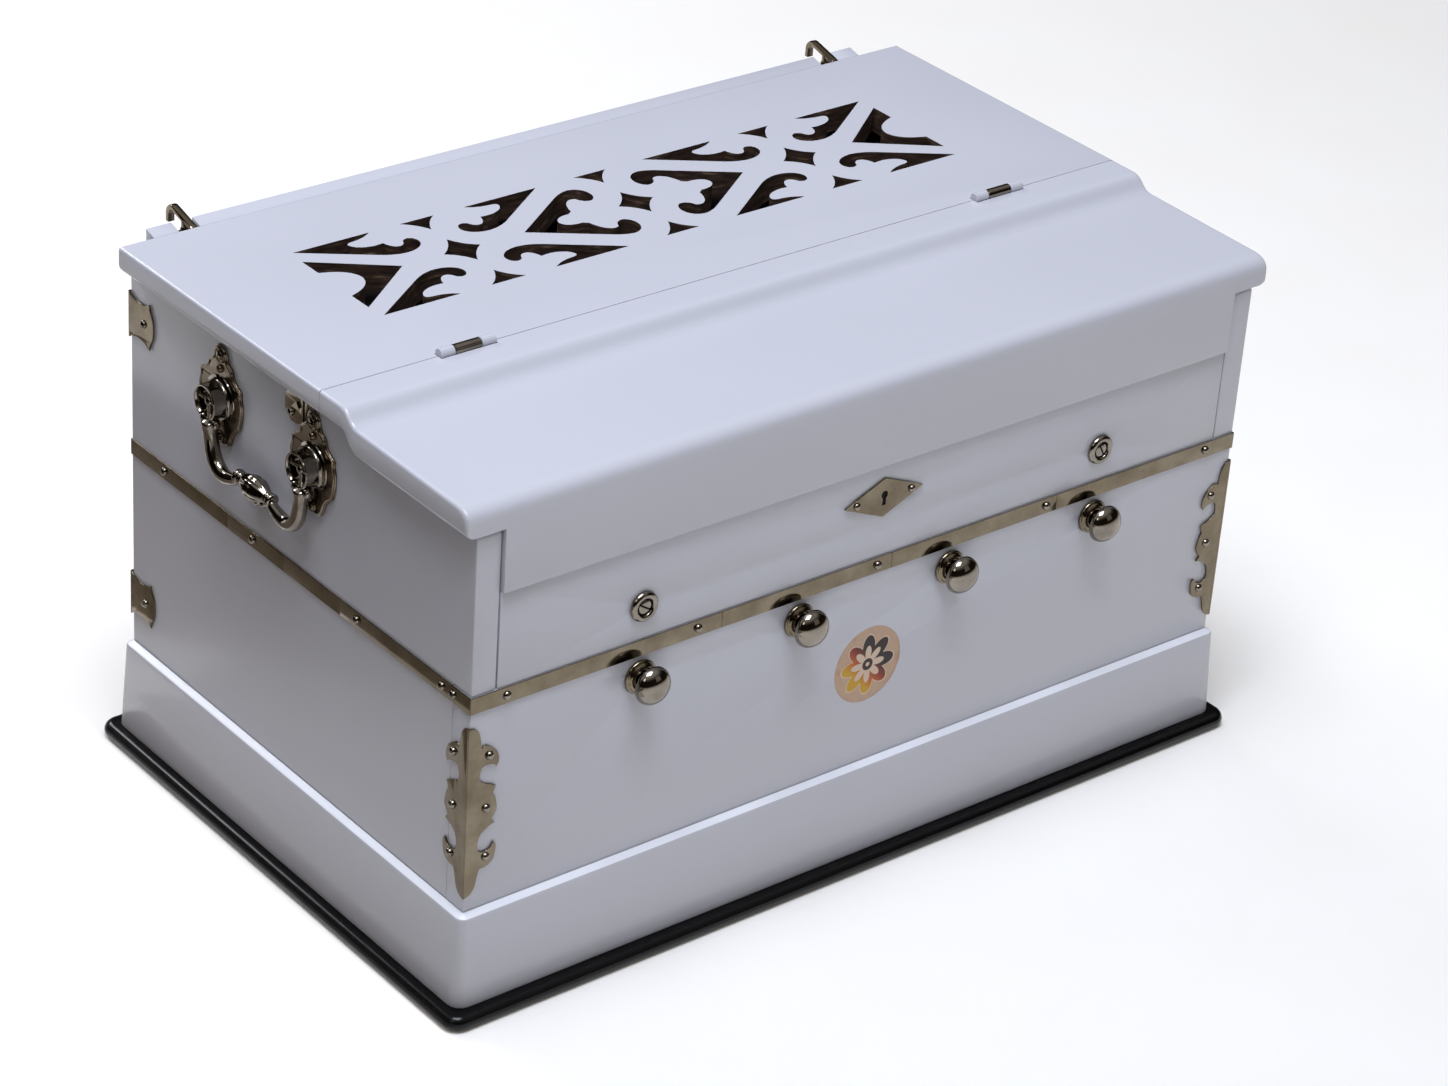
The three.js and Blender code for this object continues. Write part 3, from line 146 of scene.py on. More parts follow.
# White paper, faintly uneven, with a little light of its own so that it stays pale to the edges
paper = clouded("white_paper_floor", (9.0, 3.0, 0.5), {0.3: "#FAF6F0", 0.7: "#FBF8F3"}, 0.9,
                Specular_IOR_Level=0.1, Emission_Strength=0.05)
floor_mesh = bpy.data.meshes.new("floor")
reach = 14.0
floor_mesh.from_pydata([(-reach, -reach, 0), (reach, -reach, 0), (reach, reach, 0), (-reach, reach, 0)], [],
                       [(0, 1, 2, 3)])
floor_mesh.materials.append(paper)
floor = link("floor", floor_mesh)


def soft_box(name, place, aim, width, height, power, color):
    """A rectangular light that shines from its place at an aim."""
    light = bpy.data.lights.new(name, "AREA")
    light.shape = "RECTANGLE"
    light.size = width
    light.size_y = height
    light.energy = power
    light.color = linear(color)[:3]
    lamp = link(name, light)
    lamp.location = place
    lamp.rotation_euler = (Vector(aim) - Vector(place)).to_track_quat("-Z", "Y").to_euler()


soft_box("overhead_soft_box", (-0.5, -0.52, 2.95), (-0.1, -0.1, 0.2), 1.4, 1.4, 76.0, "#E8F0FF")
soft_box("left_soft_box", (-2.4, -1.1, 2.3), (-0.32, 0.0, 0.2), 0.7, 0.7, 4.0, "#FFF6EA")
soft_box("front_soft_box", (1.3, -2.9, 1.5), (0.0, 0.0, 0.15), 1.4, 1.4, 1.5, "#FFFAF2")
soft_box("background_soft_box", (-0.2, 3.6, 2.6), (0.3, 3.0, 0.0), 2.4, 1.2, 90.0, "#F4F7FF")

# Two cards stand beside the left end and one lies on the floor there: the tall black one darkens that
# end, the low brown one gives its metal something warm to mirror, and the lying one takes away light
# that the white floor throws up. No camera sees them, from any side.
def card(name, near, far, dark, light):
    """A sheet of dull paper between two rows of points."""
    felt = clouded(f"{name}_paper", (300.0, 3.0, 0.5), {0.3: dark, 0.7: light}, 1.0, Specular_IOR_Level=0.1)
    mesh = bpy.data.meshes.new(name)
    count = len(near)
    mesh.from_pydata(near + far, [], [(i, i + 1, i + 1 + count, i + count) for i in range(count - 1)])
    mesh.materials.append(felt)
    mesh.shade_smooth()
    screen = link(name, mesh)
    screen.visible_camera = False
    screen.visible_shadow = False


def standing_card(name, line, high, dark, light):
    """A card that stands on the floor along a line."""
    card(name, [(x, y, 0.0) for x, y in line], [(x, y, high) for x, y in line], dark, light)


standing_card("black_card", [(-0.98, -0.28), (-0.98, 1.1)], 0.9, "#0D0B09", "#1B1713")
standing_card("brown_card", [(-0.97, -0.8), (-0.8, -0.48), (-0.66, -0.2), (-0.5, 0.13), (-0.37, 0.36), (-0.33, 0.6)],
              0.22, "#B6AB9D", "#C2B8AB")
card("lying_card", [(-0.335, -0.4, 0.003), (-0.342, 0.0, 0.003), (-0.342, 0.23, 0.003)],
     [(-0.78, -0.4, 0.003), (-0.58, 0.0, 0.003), (-0.45, 0.23, 0.003)], "#C6C2BD", "#CDC9C4")

room = bpy.data.worlds.new("dim_warm_room")
room.use_nodes = True
tree = room.node_tree
tree.nodes.clear()
height = add(tree, "ShaderNodeSeparateXYZ", {"Vector": add(tree, "ShaderNodeTexCoord").outputs["Generated"]})
walls = add(tree, "ShaderNodeValToRGB", {"Fac": height.outputs["Z"]}, {
    0.0: "#5C5148", 0.12: "#3A322B", 0.48: "#3A322B", 0.64: "#A3A19C", 0.8: "#FFFFFF",
})
light = add(tree, "ShaderNodeBackground", {"Color": walls, "Strength": 0.45})
add(tree, "ShaderNodeOutputWorld", {"Surface": light})
bpy.context.scene.world = room
bpy.context.scene.view_settings.view_transform = "Standard"
bpy.context.scene.view_settings.look = "None"


# Base board: a flat board on which the whole instrument stands, its edge turned to a half round.
# Softwood sprayed with black gloss paint, screwed to the plinth from below.
MM = 0.001
case_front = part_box("front_panel")[0].y
case_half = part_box("front_panel")[1].x
floor_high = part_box("plinth")[1].z
case_side, case_deep, board_thick = 320.0, 386.5, 18.0


def at(x, y, z):
    """A point in millimetres from the middle of the case's front foot, above the plinth."""
    return Vector((x * MM, case_front + y * MM, floor_high + z * MM))


def mesh_of(name, bm, finishes=()):
    """A mesh of a shape, with its materials. The shape itself is freed."""
    mesh = bpy.data.meshes.new(name)
    bm.to_mesh(mesh)
    bm.free()
    for finish in finishes:
        mesh.materials.append(finish)
    return mesh


def keep_piece(name, form, finish, body, slot, *nodes, sharp=35):
    """Makes a finished piece from a mesh or a shape in its place: shading, material and body. The slot is not used.
    A list of materials goes with faces that carry their places in it. A piece without a body is
    left unattached."""
    if isinstance(form, bmesh.types.BMesh):
        form = mesh_of(name, form, finish if isinstance(finish, list) else [finish])
    form.shade_smooth()
    form.set_sharp_from_angle(angle=radians(sharp))
    piece = link(name, form)
    if body:
        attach(piece, body)
    if nodes:
        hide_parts(*nodes)
    return piece


def outward(bm):
    """Turns the faces of a closed shape outward."""
    bm.normal_update()
    bmesh.ops.recalc_face_normals(bm, faces=bm.faces)
    if bm.calc_volume(signed=True) < 0:
        bmesh.ops.reverse_faces(bm, faces=bm.faces)
    return bm


def tidy_faces(bm):
    bmesh.ops.remove_doubles(bm, verts=bm.verts, dist=1e-6)
    return outward(bm)


def skin(rings, loop=False):
    """A closed shape over rings of points, or single points at its poles. In a loop the last ring
    joins the first; else the end rings are closed with a face each."""
    bm = bmesh.new()
    rings = [[bm.verts.new(point) for point in ring] for ring in rings]
    count = max(len(ring) for ring in rings)
    for low, high in zip(rings, rings[1:] + (rings[:1] if loop else [])):
        for i in range(count):
            j = (i + 1) % count
            corners = low[i % len(low)], low[j % len(low)], high[j % len(high)], high[i % len(high)]
            if len(set(corners)) > 2:
                bm.faces.new(list(dict.fromkeys(corners)))
    for ring in () if loop else (rings[0][::-1], rings[-1]):
        if len(ring) > 2:
            bm.faces.new(ring)
    return tidy_faces(bm)


def arc(radius, turns, u=0.0, v=0.0):
    """Points round a middle, at turns in degrees."""
    return [(u + radius * cos(radians(t)), v + radius * sin(radians(t))) for t in turns]


def rounded_stack(x0, x1, y0, y1, levels, corner, steps=6, hollow=False):
    """Rounded rectangles joined wall to wall, each [outset, height] in millimetres. A hollow
    stack joins its last level to its first."""
    rings = []
    for outset, z in levels:
        ring = []
        for cx, cy, start in ((x1, y1, 0), (x0, y1, 90), (x0, y0, 180), (x1, y0, 270)):
            px = cx - copysign(corner, cx - (x0 + x1) / 2)
            py = cy - copysign(corner, cy - (y0 + y1) / 2)
            turns = [start + 90 * i / steps for i in range(steps + 1)]
            ring += [at(x, y, z) for x, y in arc(max(corner + outset, 0.2), turns, px, py)]
        rings.append(ring)
    return skin(rings, hollow)


# Brushed-on black enamel: a wet shine with faint brush lines, and dust in the low places
black_paint = clouded("black_gloss_paint", (160.0, 6.0, 0.7), {0.6: "#060607", 0.8: "#191815"}, (0.0, 1.0, 0.1, 0.3),
                      (0.15, 0.00008), (1.0, 3.0, 0.5, (40.0, 40.0, 900.0)), IOR=1.33)

base_reach, base_round, base_middle = 18.2, 5.5, -72.5
half_round = [(-base_round + base_round * sin(radians(t)), base_middle - base_round * cos(radians(t)))
              for t in range(0, 181, 15)]
keep_piece("base_board_gloss", rounded_stack(
    -case_half / MM - base_reach, case_half / MM + base_reach, -base_reach, case_deep + base_reach,
    half_round, 12.0, steps=8,
), black_paint, "case", "black_gloss", "base_board")


# Plinth: four mitred boards that flare to the foot, with a moulded shoulder under the case.
# Wood, filled and sprayed with the same white lacquer as the case.
white_lacquer, tree, where = new_material("white_lacquer_sprayed")
# Cool white lacquer over wood: an even soft gloss with slight orange peel, a few dust nibs and a
# fine unevenness in the spray
cloud = add(tree, "ShaderNodeTexNoise", {"Vector": where, "Scale": 7.0, "Detail": 1.0})
tone = add(tree, "ShaderNodeValToRGB", {"Fac": cloud}, {0.3: "#C3C3CB", 0.7: "#C5C5CD"})
nibs = add(tree, "ShaderNodeTexVoronoi", {"Vector": where, "Scale": 38.0})
speck = add(tree, "ShaderNodeValToRGB", {"Fac": nibs}, {0.0: 0.72, 0.035: 1.0})
marked = add(tree, "ShaderNodeMix", {"Factor": 0.5, "A": tone, "B": speck}, data_type="RGBA", blend_type="MULTIPLY")
gloss = add(tree, "ShaderNodeMapRange", {"Value": cloud, "To Min": 0.25, "To Max": 0.27})
peel = add(tree, "ShaderNodeTexNoise", {"Vector": where, "Scale": 320.0, "Detail": 2.0})
finish_material(tree, {"Base Color": marked, "Roughness": gloss, "Coat Weight": 0.15, "Coat Roughness": 0.12,
                       "IOR": 1.5}, peel, 0.1, 0.00004)
# Painted highlight: the plinth's shoulder in the same lacquer drawn a purer white, brighter than the boards, standing
# in for the light it catches
painted_highlight_white = clouded("white_lacquer_painted_highlight", (30.0, 3.0, 0.5), {0.3: "#F1F3FB", 0.7: "#F6F7FD"}, 0.3,
                         (0.1, 0.00004), IOR=1.5)

plinth = rounded_stack(-case_side, case_side, 0, case_deep, [
    (8.9, -66.7), (9.2, -66.2), (5.3, -4.4), (5.2, -3.6), (5.0, -3.0), (4.7, -2.55), (4.2, -2.2), (3.8, -2.0),
    (0.4, -0.45), (0.02, -0.28), (0.0, 0.0), (-15.6, 0.0), (-16.0, -0.4), (-16.0, -66.7),
], 1.0, steps=4, hollow=True)
highlight_tilt = 0.6
# Faces of the shoulder that tilt upward, outside the case's footprint, take the painted highlight white
for face in plinth.faces:
    under_case = face.calc_center_median().z > floor_high - 0.1 * MM
    face.material_index = int(face.normal.z > highlight_tilt and not under_case)
keep_piece("plinth_lacquered", plinth, [white_lacquer, painted_highlight_white], "case", "white_lacquer", "plinth")


# Case boards: two ends, the front below the band, the fall board above it, the back panel with
# its bellows pocket, and the bellows board. Softwood boards, edges eased with sandpaper, lacquered.
def shape_of(mesh, gap=2e-6):
    """A shape of a mesh with its doubled corners joined. The mesh itself is removed."""
    bm = bmesh.new()
    bm.from_mesh(mesh)
    bpy.data.meshes.remove(mesh)
    bmesh.ops.remove_doubles(bm, verts=bm.verts, dist=gap)
    return bm


def eased(node, edge, square=None):
    """A copy of a board whose edges are eased by some millimetres."""
    bm = shape_of(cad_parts[node].data.copy())
    bmesh.ops.dissolve_limit(bm, angle_limit=radians(0.5), verts=bm.verts, edges=bm.edges)
    return softened(bm, edge, square=square)


def softened(bm, edge, steps=2, angle=25, square=None):
    """Rounds a shape's edges by some millimetres, but for those whose middle is to stay square."""
    corners = [e for e in bm.edges if e.is_manifold and e.calc_face_angle() > radians(angle)
               and not (square and square((e.verts[0].co + e.verts[1].co) / 2))]
    bmesh.ops.bevel(bm, geom=corners, offset=edge * MM, offset_type="OFFSET", segments=steps, profile=0.5,
                    affect="EDGES", clamp_overlap=True)
    return bm


def in_filled_joint(middle):
    """Where the front board's end meets the end panel, or a board stands on the plinth: glued,
    filled and sprayed over."""
    on_plinth = abs(middle.z - floor_high) < 0.1 * MM
    behind = (middle.y - case_front) / MM
    return on_plinth or abs(middle.x) / MM > case_side - 1.0 and abs(behind - board_thick) < 1.0


fall_gap = 0.9
for board, edge in (("side_panel_left", 0.7), ("side_panel_right", 0.7), ("front_panel", 0.7), ("fall_board", 1.2),
                    ("back_panel", 0.7)):
    shape = eased(board, edge, in_filled_joint)
    if board == "fall_board":
        for v in shape.verts:
            v.co.x *= 1 - fall_gap * MM / case_half
    keep_piece(board + "_lacquered", shape, white_lacquer, "case", "white_lacquer", board)
keep_piece("bellows_board_lacquered", eased("bellows_board", 1.0), white_lacquer, "bellows_flap", "white_lacquer",
           "bellows_board")


# Rear lid: a lacquered board whose ends are rounded over, cut through with fretwork on a jigsaw.
# The saw's walls were stained dark before lacquering, and the sheen has worn off them in streaks.

# Sawn wood under thin dark stain: almost black, with lighter brown where the lid was rubbed
saw_wall = clouded("stained_saw_cut_wood", (1.0, 5.0, 0.65, (60.0, 60.0, 420.0)),
                   {0.4: "#2E221C", 0.58: "#4E3B30", 0.72: "#9A7C66"}, 0.55, (0.6, 0.0004))


def bezier(points, steps):
    """Points along a curve of any degree, without its first one."""
    found = []
    for i in range(1, steps + 1):
        line = [Vector(p) for p in points]
        while len(line) > 1:
            line = [a.lerp(b, i / steps) for a, b in zip(line, line[1:])]
        found.append(tuple(line[0]))
    return found


def drawn(pen, steps=9):
    """A closed outline from pen strokes: straight where a stroke names one point, else curved."""
    line = [pen[0][0]]
    for stroke in pen[1:]:
        line += bezier([line[-1], *stroke], 1 if len(stroke) == 1 else steps)
    if (Vector(line[0]) - Vector(line[-1])).length < 1e-6:
        line.pop()
    return line


def doubled(line):
    """An outline that is the same above and below its own middle line."""
    return line + [(u, -v) for u, v in reversed(line) if abs(v) > 1e-6]


star_shares = drawn([
    [(0, 1)], [(0.34, 0.34), (1, 0)], [(0.34, -0.34), (0, -1)], [(-0.34, -0.34), (-1, 0)], [(-0.34, 0.34), (0, 1)],
])
dart_shares = drawn([[(-1, 1)], [(-0.34, 0.66), (0, 0)], [(0.34, 0.66), (1, 1)], [(-1, 1)]])
hook_shares = drawn([
    [(0.39, 1)], [(1, 1)], [(0.515, 0.39)], [(0.42, 0.28), (0.33, 0.28)], [(0.2, 0.29), (0.14, 0.46), (0.185, 0.58)],
    [(0.225, 0.66), (0.268, 0.58)], [(0.29, 0.45), (0.35, 0.49)], [(0.39, 0.54), (0.4, 0.66)],
    [(0.51, 0.62), (0.59, 0.73)], [(0.66, 0.88), (0.56, 0.885)], [(0.46, 0.9), (0.39, 1)],
])
chevron_shares = doubled(drawn([
    [(0, 0)], [(0.63, 0.82)], [(0.76, 1), (0.86, 1)], [(1.02, 0.96), (1.04, 0.56), (0.93, 0.45)],
    [(0.84, 0.44), (0.81, 0.63)], [(0.74, 0.72), (0.67, 0.54)], [(0.63, 0.4), (0.62, 0.27)], [(0.57, 0.2)],
    [(0.4, 0.21), (0.383, 0)],
]))
end_shares = doubled(drawn([[(0, 0)], [(1, 1)], [(1, 0.5)], [(0.62, 0.34), (0.6, 0)]]))
fret_middle = 268.8
fret_pitch = 142.0
# Each form of the fretwork with its place across and up from the fret's middle, its width and its
# height; a form with a negative one lies the other way round
fret_forms = []
for x in (-fret_pitch, 0.0, fret_pitch):
    fret_forms.append((star_shares, x, 0.0, 14.5, 17.6))
    for turn in (1, -1):
        fret_forms.append((dart_shares, x, turn * 35.0, 13.6, turn * 17.0))
        fret_forms += [(hook_shares, x, 0.0, side * 97.0, turn * 52.0) for side in (1, -1) if x]
for side in (1, -1):
    fret_forms += [(chevron_shares, side * 92.0, 0.0, -side * 73.5, 38.0),
                   (end_shares, side * (fret_pitch + 47.0), 0.0, side * 52.0, 38.0)]


def prism(outline, place, near, far):
    """A closed prism. Place turns (u, v, distance) into a point of the frame."""
    return skin([[place(u, v, w) for u, v in outline] for w in (near, far)])


def from_side(x, y, z):
    """The same point as at, for an outline drawn from the side: its depth, height and width."""
    return at(z, x, y)


def from_front(x, z, y):
    """The same point as at, for an outline drawn from the front: its width, height and depth."""
    return at(x, y, z)


def evaluated_mesh(made):
    """The object's mesh with its modifiers applied. The object itself is removed."""
    bpy.context.view_layer.update()
    graph = bpy.context.evaluated_depsgraph_get()
    mesh = bpy.data.meshes.new_from_object(made.evaluated_get(graph))
    bpy.data.objects.remove(made)
    return mesh


def gathered(parts):
    """Several shapes in one."""
    whole = bmesh.new()
    for part in parts:
        loose = mesh_of("part", part)
        whole.from_mesh(loose)
        bpy.data.meshes.remove(loose)
    return whole


def worked(bm, finishes, tools, tool_finish, operation="DIFFERENCE"):
    """Cuts closed shapes out of a body, or joins them to it; their walls keep the tools' material.
    Gives the new shape and its materials."""
    body = link("body", mesh_of("body", bm, finishes))
    tool = link("tool", mesh_of("tool", gathered(tools), [tool_finish]))
    work = body.modifiers.new("work", "BOOLEAN")
    work.operation = operation
    work.solver = "EXACT"
    work.object = tool
    work.material_mode = "TRANSFER"
    mesh = evaluated_mesh(body)
    bpy.data.objects.remove(tool)
    finishes = list(mesh.materials)
    return shape_of(mesh), finishes


lid_under, lid_top, lid_half, lid_split = 280.5, 298.5, 330.0, 153.0
edge_low, edge_top = 7.0, 2.5


def lid_end_view(half):
    """The lid seen from the front: square below the middle, rounded over at its ends."""
    right = [(half - edge_low, lid_under)]
    right += bezier([right[-1], (half, lid_under), (half, lid_under + edge_low)], 6)
    right += [(half, lid_top - edge_top)]
    right += bezier([right[-1], (half, lid_top), (half - edge_top, lid_top)], 4)
    return right + [(-u, v) for u, v in reversed(right)]


hinge_at, hinge_half, hinge_high, hinge_reach = 221.0, 21.0, lid_top + 1.2, 4.3


def hinge_rooms():
    """The shallow trough and the slot below it that a cover hinge lies in, for each hinge."""
    slot_half, slot_low = 1.8, lid_top - 13.3
    meets = degrees(asin(slot_half / hinge_reach))
    turns = [-90 + meets + (360 - 2 * meets) * k / 24 for k in range(25)]
    room = [(lid_split - slot_half, slot_low), (lid_split + slot_half, slot_low)]
    room += arc(hinge_reach, turns, lid_split, hinge_high)
    return [prism(room, from_side, side * hinge_at - hinge_half - 0.4, side * hinge_at + hinge_half + 0.4)
            for side in (-1, 1)]


blank = prism(lid_end_view(lid_half), from_front, lid_split + 0.3, 384.6)
holes = [prism([(x + u * wide, fret_middle + up + v * high) for u, v in shares], at, lid_under - 3, lid_top + 3)
         for shares, x, up, wide, high in fret_forms]
fretted, finishes = worked(blank, [white_lacquer], holes, saw_wall)
fretted, _ = worked(fretted, finishes, hinge_rooms(), white_lacquer)
keep_piece("lid_rear_fretted", fretted, finishes, "case", "white_lacquer", "lid_rear")


# Front cover: a board with a moulded S where it drops from the lid, a rounded nose, and an apron
# glued under its front edge that fills the opening between the cheeks. Lacquered wood.
seam_height, cover_under, case_inside = 224.0, 268.0, 302.0
flat_from, curve_to, nose_from, cover_face = 131.6, 112.5, 12.0, -2.8
cover_middle = (flat_from + curve_to) / 2
cover_drop, nose_drop, nose_round = 9.3, 10.7, 10.0
cover_back = 152.7
cover_top = [(cover_back, lid_top), (flat_from, lid_top)]
cover_top += bezier([
    (flat_from, lid_top), (cover_middle, lid_top), (cover_middle, lid_top - cover_drop),
    (curve_to, lid_top - cover_drop),
], 18)
nose_top = lid_top - nose_drop
cover_top += [(curve_to - 20, lid_top - cover_drop - 0.3), (60, lid_top - cover_drop - 0.8), (nose_from, nose_top)]
cover_top += bezier([(nose_from, nose_top), (cover_face, nose_top), (cover_face, nose_top - nose_round)], 10)
cover_low = [(cover_face, cover_under + 0.8), (cover_face + 0.8, cover_under), (curve_to, cover_under)]
cover_low += bezier([
    (curve_to, cover_under), (cover_middle, cover_under), (cover_middle, lid_under), (flat_from, lid_under),
], 12)
cover_low += [(cover_back, lid_under)]
# Stations along the rounded end: how far in from it, and there the drop of the top and the lift of
# the underside
end_stations = [(0.0, 2.5, 7.0), (0.15, 1.7, 5.6), (0.5, 1.05, 4.3), (1.0, 0.55, 3.3), (1.7, 0.15, 2.3),
                (2.5, 0.0, 1.6), (4.0, 0.0, 0.7), (5.5, 0.0, 0.2), (7.0, 0.0, 0.0)]


def cover_board():
    """The cover's two outlines swept across the case, with its ends and the ends of its nose rounded."""
    stations = [(-lid_half + inset, drop, rise) for inset, drop, rise in end_stations]
    stations += [(-x, drop, rise) for x, drop, rise in reversed(stations)]
    rings = []
    for x, drop, rise in stations:
        ring = []
        for line, shift in ((cover_top, -drop), (cover_low, rise)):
            for u, v in line:
                nose = min(max((nose_from - u) / (nose_from - cover_face), 0.0), 1.0)
                ring.append(at(x, u + drop * 1.2 * nose, v + shift))
        rings.append(ring)
    bm = skin(rings)
    bmesh.ops.triangulate(bm, faces=[f for f in bm.faces if len(f.verts) > 4])
    return bm


def oblong(u0, u1, v0, v1):
    """The outline of a rectangle."""
    return [(u0, v0), (u1, v0), (u1, v1), (u0, v1)]


apron_half = case_inside - 1.2
apron = softened(prism(oblong(cover_face, cover_face + board_thick, seam_height + 0.3, cover_under + 3),
                       from_side, -apron_half, apron_half), 0.4, 3)
bolt_low, bolt_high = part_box("lock_bolt")
bolt_room, bolt_throw = 1.2, 7.0
strike_room = prism(
    oblong(bolt_low.x / MM - bolt_room, bolt_high.x / MM + bolt_room, seam_height - 4,
           seam_height + 0.3 + bolt_throw + bolt_room),
    from_front, (bolt_low.y - case_front) / MM - bolt_room, (bolt_high.y - case_front) / MM + bolt_room,
)
cover, _ = worked(cover_board(), [white_lacquer], [apron], white_lacquer, "UNION")
cover, _ = worked(cover, [white_lacquer], hinge_rooms() + [strike_room], white_lacquer)
keep_piece("front_cover_lacquered", cover, white_lacquer, "front_lid", "white_lacquer", "lid_front")


# Trim band: thin nickel-plated strip nailed round the ends and the front, in butted lengths.
# The plating has aged to a warm brown grey with fine scratches along the strip.
old_nickel, tree, where = new_material("aged_nickel_plate")
# Aged nickel over brass: a mirror gone warm and slightly dim, brown spots, tiny dents from the
# hammer and hairline scratches
bloom = add(tree, "ShaderNodeTexNoise", {"Vector": where, "Scale": 46.0, "Detail": 5.0, "Roughness": 0.6})
warm = add(tree, "ShaderNodeValToRGB", {"Fac": bloom}, {0.3: "#6C6150", 0.5: "#7B705E", 0.72: "#8A806E"})
pits = add(tree, "ShaderNodeTexVoronoi", {"Vector": where, "Scale": 190.0})
pitted = add(tree, "ShaderNodeValToRGB", {"Fac": pits}, {0.05: 0.35, 0.16: 1.0})
sparse = add(tree, "ShaderNodeTexNoise", {"Vector": where, "Scale": 90.0, "Detail": 1.0})
few = add(tree, "ShaderNodeMapRange", {"Value": sparse, "From Min": 0.52, "From Max": 0.66})
spotted = add(tree, "ShaderNodeMix", {"Factor": few, "A": warm, "B": pitted}, data_type="RGBA", blend_type="MULTIPLY")
slanted = add(tree, "ShaderNodeMapping", {"Vector": where, "Rotation": (0.2, 0.9, 0.5), "Scale": (60.0, 1500.0, 300.0)})
hair = add(tree, "ShaderNodeTexNoise", {"Vector": slanted, "Scale": 1.0, "Detail": 2.0})
dim = add(tree, "ShaderNodeMapRange", {"Value": bloom, "From Min": 0.3, "From Max": 0.75, "To Min": 0.06,
                                       "To Max": 0.15})
both = add(tree, "ShaderNodeMath", {0: hair, 1: bloom}, operation="ADD")
finish_material(tree, {"Base Color": spotted, "Metallic": 1.0, "Roughness": dim}, both, 0.12, 0.00006)
# Polished nickel on cast brass: deep mirror with brown and black reflections, soft finger marks
bright_nickel = clouded("polished_nickel_casting", (70.0, 4.0, 0.6), {0.35: "#7F776C", 0.6: "#958D82"},
                        (0.35, 0.75, 0.04, 0.12), (0.1, 0.0001), Metallic=1.0)

band_low, band_high, band_thick, plate_gap = 144.4, 156.1, 0.8, 0.3


def sheet_piece(outline, holes, thick, edge, place):
    """Sheet metal cut to an outline with a soft edge. Place turns (u, v, out) into the frame."""
    curve = bpy.data.curves.new("sheet", "CURVE")
    curve.dimensions = "2D"
    curve.fill_mode = "BOTH"
    curve.extrude = thick / 2 - edge
    curve.bevel_depth = edge
    curve.bevel_resolution = 2
    curve.offset = -edge
    for line in [outline, *holes]:
        spline = curve.splines.new("POLY")
        spline.points.add(len(line) - 1)
        for point, (u, v) in zip(spline.points, line):
            point.co = (u, v, 0.0, 1.0)
        spline.use_cyclic_u = True
    bm = shape_of(evaluated_mesh(link("sheet", curve)), 1e-3)
    for v in bm.verts:
        v.co = place(v.co.x, v.co.y, v.co.z + thick / 2)
    return outward(bm)


def on_front(x, z, out):
    """A place on the front of the case, out from it by some millimetres."""
    return at(x, -plate_gap - out, z)


def on_end(side):
    """Places on one end of the case, each (depth, height, out) in millimetres."""
    def place(y, z, out):
        return Vector((side * (case_half + (plate_gap + out) * MM), case_front + y * MM, floor_high + z * MM))
    return place


hands = ((-1, "left", on_end(-1)), (1, "right", on_end(1)))
side_start, side_stop, front_end = -0.9, 386.4, 320.9
side_joints, front_joints = [139.0, 203.0, 268.0], [-128.0, 12.0, 156.0]
butt_gap, band_inset = 0.12, 0.1


def band_run(place, start, stop, joints):
    """Butted lengths of strip, with a fine gap at each joint."""
    ends = [start, *joints, stop]
    return [sheet_piece(oblong(near + butt_gap, far - butt_gap, band_low + band_inset, band_high - band_inset),
                        [], band_thick, 0.16, place) for near, far in zip(ends, ends[1:])]


band = band_run(on_front, -front_end, front_end, front_joints)
for _, _, on_side in hands:
    band += band_run(on_side, side_start, side_stop, side_joints)
keep_piece("trim_band_strips", gathered(band), old_nickel, "case", "nickel", "trim_band")

# Corner plates: ornate thin plates folded round the corners of the case, stamped from nickel-plated
# brass sheet and nailed. The rear ones are smaller; the slotted plate under the lid has two leaves.
front_plate_shares = [
    (0.0, 1.0, 1), (0.15, 0.98), (0.27, 0.93), (0.34, 0.85), (0.38, 0.73, 1), (0.48, 0.75), (0.59, 0.745),
    (0.8, 0.69), (0.94, 0.63), (0.99, 0.57), (1.0, 0.52, 1), (0.93, 0.46, 1), (0.84, 0.49), (0.72, 0.505),
    (0.6, 0.51), (0.51, 0.51), (0.42, 0.49), (0.37, 0.44), (0.35, 0.39), (0.38, 0.35), (0.46, 0.33),
    (0.57, 0.3), (0.71, 0.28), (0.92, 0.24, 1), (0.88, 0.2), (0.83, 0.16, 1), (0.9, 0.12), (0.94, 0.07),
    (0.99, -0.02), (0.96, -0.07), (0.9, -0.1), (0.8, -0.15, 1), (0.86, -0.17), (0.94, -0.2, 1), (0.78, -0.215),
    (0.64, -0.24), (0.52, -0.27), (0.44, -0.3), (0.38, -0.36), (0.36, -0.43), (0.4, -0.48, 1), (0.5, -0.5),
    (0.6, -0.51), (0.7, -0.5), (0.74, -0.5), (0.82, -0.48), (0.87, -0.45), (0.93, -0.43), (1.0, -0.46, 1),
    (1.0, -0.53), (0.96, -0.61), (0.9, -0.65), (0.83, -0.67), (0.72, -0.69), (0.62, -0.7), (0.52, -0.7),
    (0.45, -0.71, 1), (0.41, -0.75), (0.38, -0.8), (0.34, -0.86), (0.28, -0.92), (0.17, -0.97), (0.0, -1.0, 1),
]


def between(a, b, c, d, steps):
    """Points of a smooth curve from b to c, without c. It comes from a and goes on to d."""
    return [0.5 * (2 * b + (c - a) * t + (2 * a - 5 * b + 4 * c - d) * t * t + (3 * b - a - 3 * c + d) * t ** 3)
            for t in [k / steps for k in range(steps)]]


